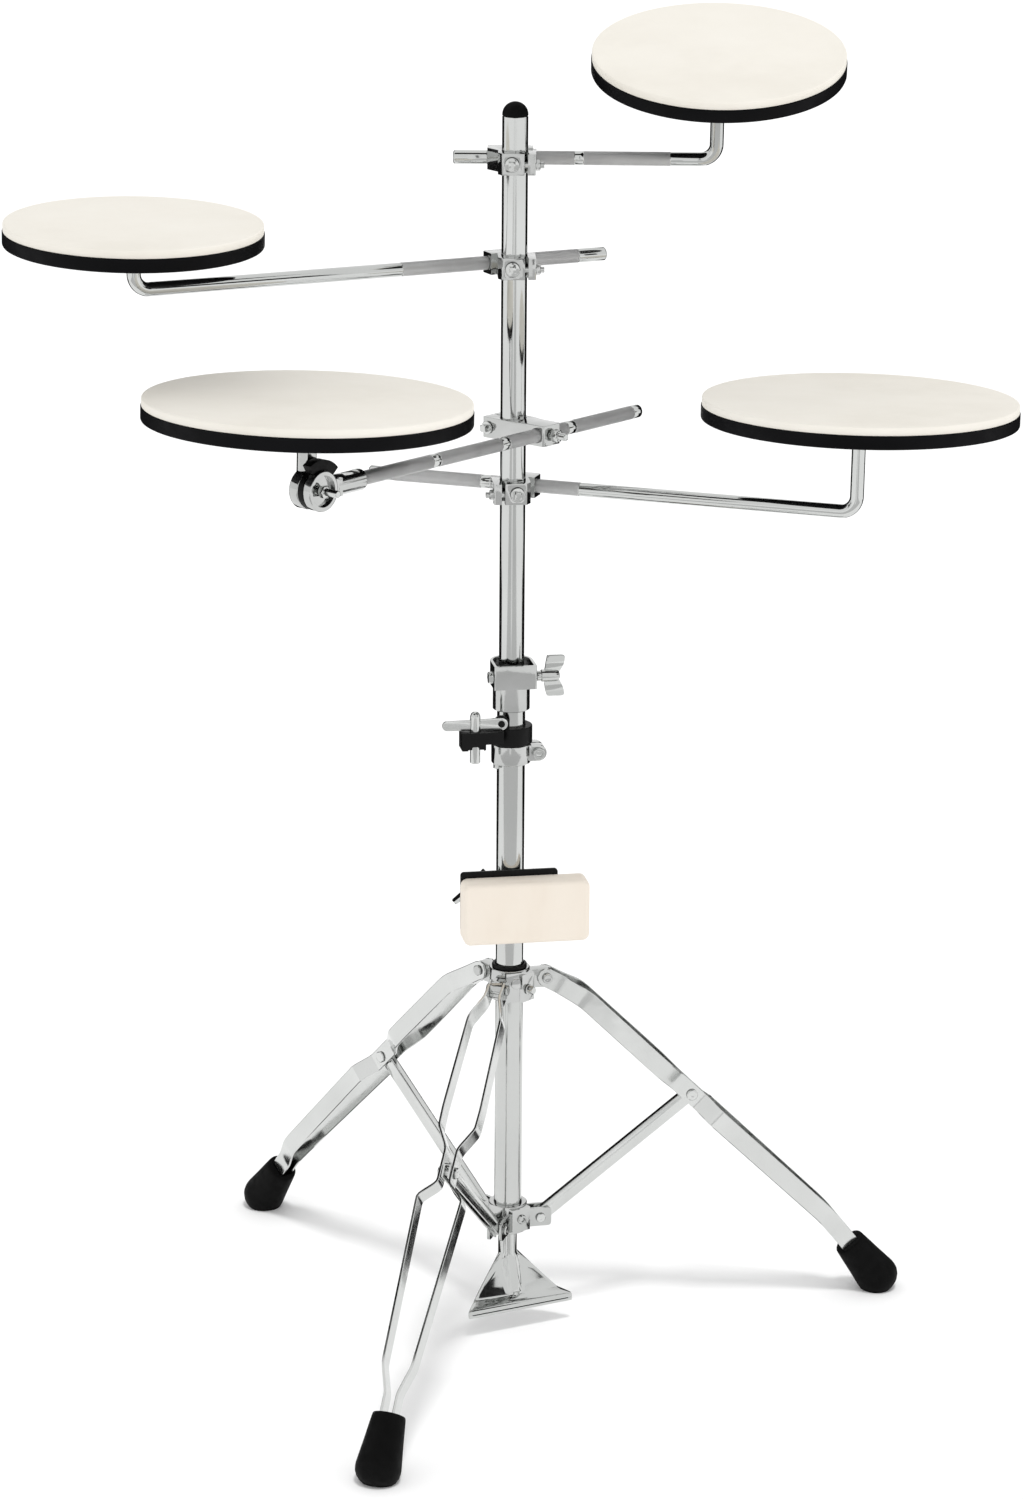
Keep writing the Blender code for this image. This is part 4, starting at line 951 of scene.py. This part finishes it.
def snare_support():
    spot = mast_frame(SNARE_Z, SNARE_AZ)
    offset = SNARE_OFFSET
    half = [(12.1, -21.5), (13.6, -20), (13.6, 10), (10.8, 22), (10.8, 40.2), (9.4, 41.6)]
    body = prism(half + [(-x, y) for x, y in reversed(half)], -8.5, 8.5)
    cut(body, rod(10.8, -20, 20, segments=72), block((-1.2, 1.2), (-30, -5), (-20, 20)),
        rod(5.9, -20, 20, RIGHT, (0, offset, 0), 48), rod(3.2, 36.0, 50, AWAY, segments=32),
        rod(2.7, -20, 20, RIGHT, (0, -15.8, 0), 32))
    finish(body, "clamp_low_left_body", "cast", spot, 0.8)
    bolt = rod(2.9, 39.6, 56.4, AWAY, segments=32, edge=0.6)
    join(bolt, hexagon(9.5, 43.0, 49.0, (0, 1, 0)))
    finish(bolt, "clamp_low_left_lock_bolt", "chrome", spot, 0.25)
    screw = key_screw(5.4, 13.9, 20.0, -12.6, 2.4)
    finish(screw, "clamp_low_left_key_screw", "chrome", spot @ along((1, 0, 0), (0, -15.8, 0)), 0.3)

    out = Vector((1, 0, 0))
    start, stop = Vector((-SNARE_TAIL, offset, 0)), Vector((SNARE_REACH - 26.0, offset, 0))
    total = (stop - start).length
    end = [(total - 1.0, ROD_R, 0), (total, ROD_R - 0.8, 0)]
    marks = knurl_marks(SNARE_KNURL, -SNARE_TAIL, end)
    arm = swept_arm([(start, out), (stop, out)], Vector(AWAY), marks)
    finish(arm, "arm_low_left", ["chrome", "knurl"], spot, 0)

    hinge = spot @ Matrix.Translation((SNARE_REACH, offset, 0))
    socket = rod(8.6, -50.0, -17.5, RIGHT, segments=64, edge=0.9)
    join(socket, block((-22.0, -8.0), (1.6, 8.2), (-7.0, 7.0)),
         rod(TILTER_R, 1.6, 9.2, AWAY, segments=72, edge=1.2))
    cut(socket, rod(ROD_R + GAP, -70.0, -25.0, RIGHT),
        rod(3.3, -5, 20, AWAY, segments=32), rod(12.4, 4.4, 12, AWAY))
    # cut-out on top of the ferrule where the clamp wedge sits
    cut(socket, block((-45.0, -28.0), (-5.0, 5.0), (6.6, 12.0)))
    finish(socket, "tilter_socket", "cast", hinge, 0.5)

    cog = rod(TILTER_R - 0.6, -3.6, 1.2, AWAY, segments=96)
    hood = arc((0, 0), 24.2, 60, 140, 28) + arc((0, 0), TILTER_R + 0.4, 140, 60, 28)
    hood = prism(hood, -6.6, 1.7, UPRIGHT)
    join(cog, block((-6.0, 6.0), (-1.7, 1.2), (10.0, 18.0)), hood)
    cut(cog, rod(3.3, -5, 20, AWAY, segments=32))
    finish(cog, "tilter_cog", "nylon", hinge, 0.3)

    lean = Matrix.Rotation(math.radians(-SNARE_LEAN), 4, "Y")
    top_end = SNARE_POST - BOARD_T - BOSS_T - 0.4
    post = rod(7.7, 7.5, top_end, origin=(0, -9.6, 0), segments=64, edge=0.8)
    pin = rod(ROD_R, 20.0, SNARE_POST - BOARD_T + 5.6, origin=(0, -9.6, 0), edge=0.6)
    disc = rod(TILTER_R, -13.2, -4.0, AWAY, segments=96, edge=1.4)
    join(disc, post, pin)
    cut(disc, block((-30, 30), (-3.9, 6), (-30, 40)), rod(3.3, -20, 20, AWAY, segments=32))
    finish(disc, "tilter_post", "cast", hinge @ lean, 0.5)
    bolt = rod(2.9, -18.0, 24.0, AWAY, segments=40, edge=0.8)
    join(bolt, hexagon(9.0, 6.8, 11.4, (0, 1, 0)), rod(5.2, -18.0, -13.6, AWAY, edge=0.8))
    finish(bolt, "tilter_bolt", "chrome", hinge, 0.2)
    top = hinge @ lean @ Vector((0, -9.6, SNARE_POST))
    return top, (hinge @ lean).to_3x3() @ UP


# ---- studio, in metres ----------------------------------------------------
def stage_mesh(name, corners, mat):
    mesh = bpy.data.meshes.new(name)
    mesh.from_pydata(corners, [], [list(range(len(corners)))])
    mesh.materials.append(mat)
    obj = bpy.data.objects.new(name, mesh)
    bpy.context.scene.collection.objects.link(obj)
    return obj


def flag(name, corners, shade):
    """A studio card that only reflections see."""
    mat = bpy.data.materials.new(name)
    mat.use_nodes = True
    tree = mat.node_tree
    tree.nodes.remove(tree.nodes["Principled BSDF"])
    glow = tree.nodes.new("ShaderNodeEmission")
    glow.inputs["Color"].default_value = (1, 1, 1, 1)
    glow.inputs["Strength"].default_value = shade
    tree.links.new(glow.outputs[0], tree.nodes["Material Output"].inputs["Surface"])
    obj = stage_mesh(name, corners, mat)
    for ray in ("camera", "diffuse", "shadow", "transmission"):
        setattr(obj, "visible_" + ray, False)
    return obj


def wall_card(start, stop, low, high):
    return [(*start, low), (*stop, low), (*stop, high), (*start, high)]


def floor_card(x, y, z):
    return [(x[0], y[0], z), (x[1], y[0], z), (x[1], y[1], z), (x[0], y[1], z)]


def light(name, kind, energy, direction):
    data = bpy.data.lights.new(name, kind)
    data.energy = energy
    obj = bpy.data.objects.new(name, data)
    bpy.context.scene.collection.objects.link(obj)
    obj.rotation_euler = Vector(direction).to_track_quat("-Z", "Y").to_euler()
    return obj


FLOOR_HALF, BACK_Y, FRONT_Y, BLACK = 60.0, 2.1, -2.2, 0.01
# strips along the legs, from beside the mast down to the feet, in millimetres
SHADE_OUT, SHADE_TOP, SHADE_LOW, SHADE_HALF = (30.0, 318.0), 300.0, 25.0, 13.0
CASTERS = ("vis_leg_", "vis_pedal", "vis_lower", "vis_base", "vis_hub")


def floor_and_world():
    scene = bpy.context.scene
    scene.view_settings.view_transform = "Standard"
    scene.view_settings.look = "None"
    scene.world = bpy.data.worlds.new("studio")
    scene.world.use_nodes = True
    sky = scene.world.node_tree.nodes["Background"]
    sky.inputs["Color"].default_value = (1, 1, 1, 1)
    sky.inputs["Strength"].default_value = 1.0
    paper = Nodes("floor_paper", (0.84, 0.84, 0.84), 1.0, Specular_IOR_Level=0.0)
    span = (-FLOOR_HALF, FLOOR_HALF)
    return stage_mesh("floor", floor_card(span, span, 0), paper.mat)


def floor_light(floor):
    """Light on the floor only: it draws the soft shadows of the tripod."""
    sun = light("overhead", "SUN", 1.25, (-0.10, 0.30, -1.0))
    sun.data.angle = math.radians(10.0)
    ground = bpy.data.collections.new("ground")
    ground.objects.link(floor)
    blockers = bpy.data.collections.new("floor_shadows")
    for obj in bpy.context.scene.collection.objects:
        if obj.name.startswith(CASTERS):
            blockers.objects.link(obj)
    # the strips widen the legs' shadows into soft bands
    (near, far), half = SHADE_OUT, SHADE_HALF
    for azimuth in LEG_AZIMUTHS.values():
        corners = [mast_frame(0, azimuth) @ Vector(p) * MM
                   for p in ((near, -half, SHADE_TOP), (far, -half, SHADE_LOW),
                             (far, half, SHADE_LOW), (near, half, SHADE_TOP))]
        strip = flag("shade_strip", corners, 0.0)
        strip.visible_glossy = False
        strip.visible_shadow = True
        blockers.objects.link(strip)
    sun.light_linking.receiver_collection = ground
    sun.light_linking.blocker_collection = blockers


def key_light():
    """Soft light on the set from the player's right, kept out of the reflections."""
    place, target = Vector((1.8, -1.4, 3.2)), Vector((0, 0, 0.5))
    key = light("key_soft", "AREA", 16, target - place)
    key.location = place
    key.data.size = 1.8
    pieces = bpy.data.collections.new("set_pieces")
    for obj in bpy.context.scene.collection.objects:
        if obj.name.startswith("vis_"):
            pieces.objects.link(obj)
    key.light_linking.receiver_collection = pieces
    key.visible_glossy = False


def reflection_cards():
    # behind the set at both sides, they give the tubes their dark outlines
    for name, side in (("left", -1), ("right", 1)):
        flag("card_back_" + name, wall_card((side * 0.42, BACK_Y), (side * 2.9, 1.2), 0, 2.4), BLACK)
        flag("card_floor_back", floor_card((side * 0.4, side * 2.5), (0.6, BACK_Y), 0.001), BLACK)
    # narrow dark gap and bright strip on the camera side
    flag("card_front_gap", wall_card((0.10, FRONT_Y), (0.26, FRONT_Y), 0.9, 2.8), 0.12)
    flag("card_front_strip", wall_card((-0.34, FRONT_Y), (0.08, FRONT_Y), 0, 2.8), 1.05)
    # the floor towards the camera is a little darker, seen in the upright faces
    flag("card_floor_front", floor_card((-1.6, 1.6), (-6.0, -0.75), 0.002), 0.72)
    # over the player's side, seen in the upper half of the arms
    flag("card_ceiling", floor_card((-2.6, 2.6), (-1.9, -0.3), 4.0), BLACK)
    # low on the right, seen in the pedal plate
    flag("card_low_right", wall_card((1.5, -1.7), (2.1, -1.1), 1.1, 1.9), 0.02)
    # half ring on the floor behind the mast
    mast = (MAST_X, MAST_Y)
    ring = arc(mast, 270, 0, 180, 18) + arc(mast, 120, 180, 0, 18)
    flag("card_floor_ring", [(x * MM, y * MM, 0.001) for x, y in ring], 0.02)


LENS, SENSOR, PITCH, ROLL, YAW = 149.97, 36.0, 0.28944, 0.00703, 0.00015
CAMERA_BACK, CAMERA_HEIGHT = 3.4014, 1.5260


def camera():
    """Long lens in front of the mast, looking slightly down; angles in radians."""
    data = bpy.data.cameras.new("camera")
    cam = bpy.data.objects.new("camera", data)
    bpy.context.scene.collection.objects.link(cam)
    data.sensor_fit = "HORIZONTAL"
    data.sensor_width, data.lens, data.clip_end = SENSOR, LENS, 200
    level_way = Vector((math.sin(YAW), math.cos(YAW), 0))
    forward = level_way * math.cos(PITCH) - UP * math.sin(PITCH)
    aside = Vector((math.cos(YAW), -math.sin(YAW), 0))
    right = aside * math.cos(ROLL) + aside.cross(forward) * math.sin(ROLL)
    turn = Matrix((right, right.cross(forward), -forward)).transposed().to_4x4()
    place = Matrix.Translation((MAST_X * MM, MAST_Y * MM - CAMERA_BACK, CAMERA_HEIGHT))
    cam.matrix_world = place @ turn
    bpy.context.scene.camera = cam


stand_parts()
height_parts()
index_parts()
hub_parts()
collar_part()
pedal_plate()
legs()
kick_parts()
for pad_name, info in PADS.items():
    turned = math.cos(math.radians(info["azimuth"])) < 0
    arm_yaw = info["azimuth"] - 180.0 if turned else info["azimuth"]
    arm_clamp(pad_name, info["arm_z"], info["face"], arm_yaw, pad_name == "low_right")
    pad_centre, pad_up = bent_arm(pad_name, info)
    pad(pad_name, info["radius"], pad_centre, pad_up)
pad_centre, pad_up = snare_support()
pad("low_left", SNARE_RADIUS, pad_centre, pad_up)
floor_light(floor_and_world())
key_light()
reflection_cards()
camera()
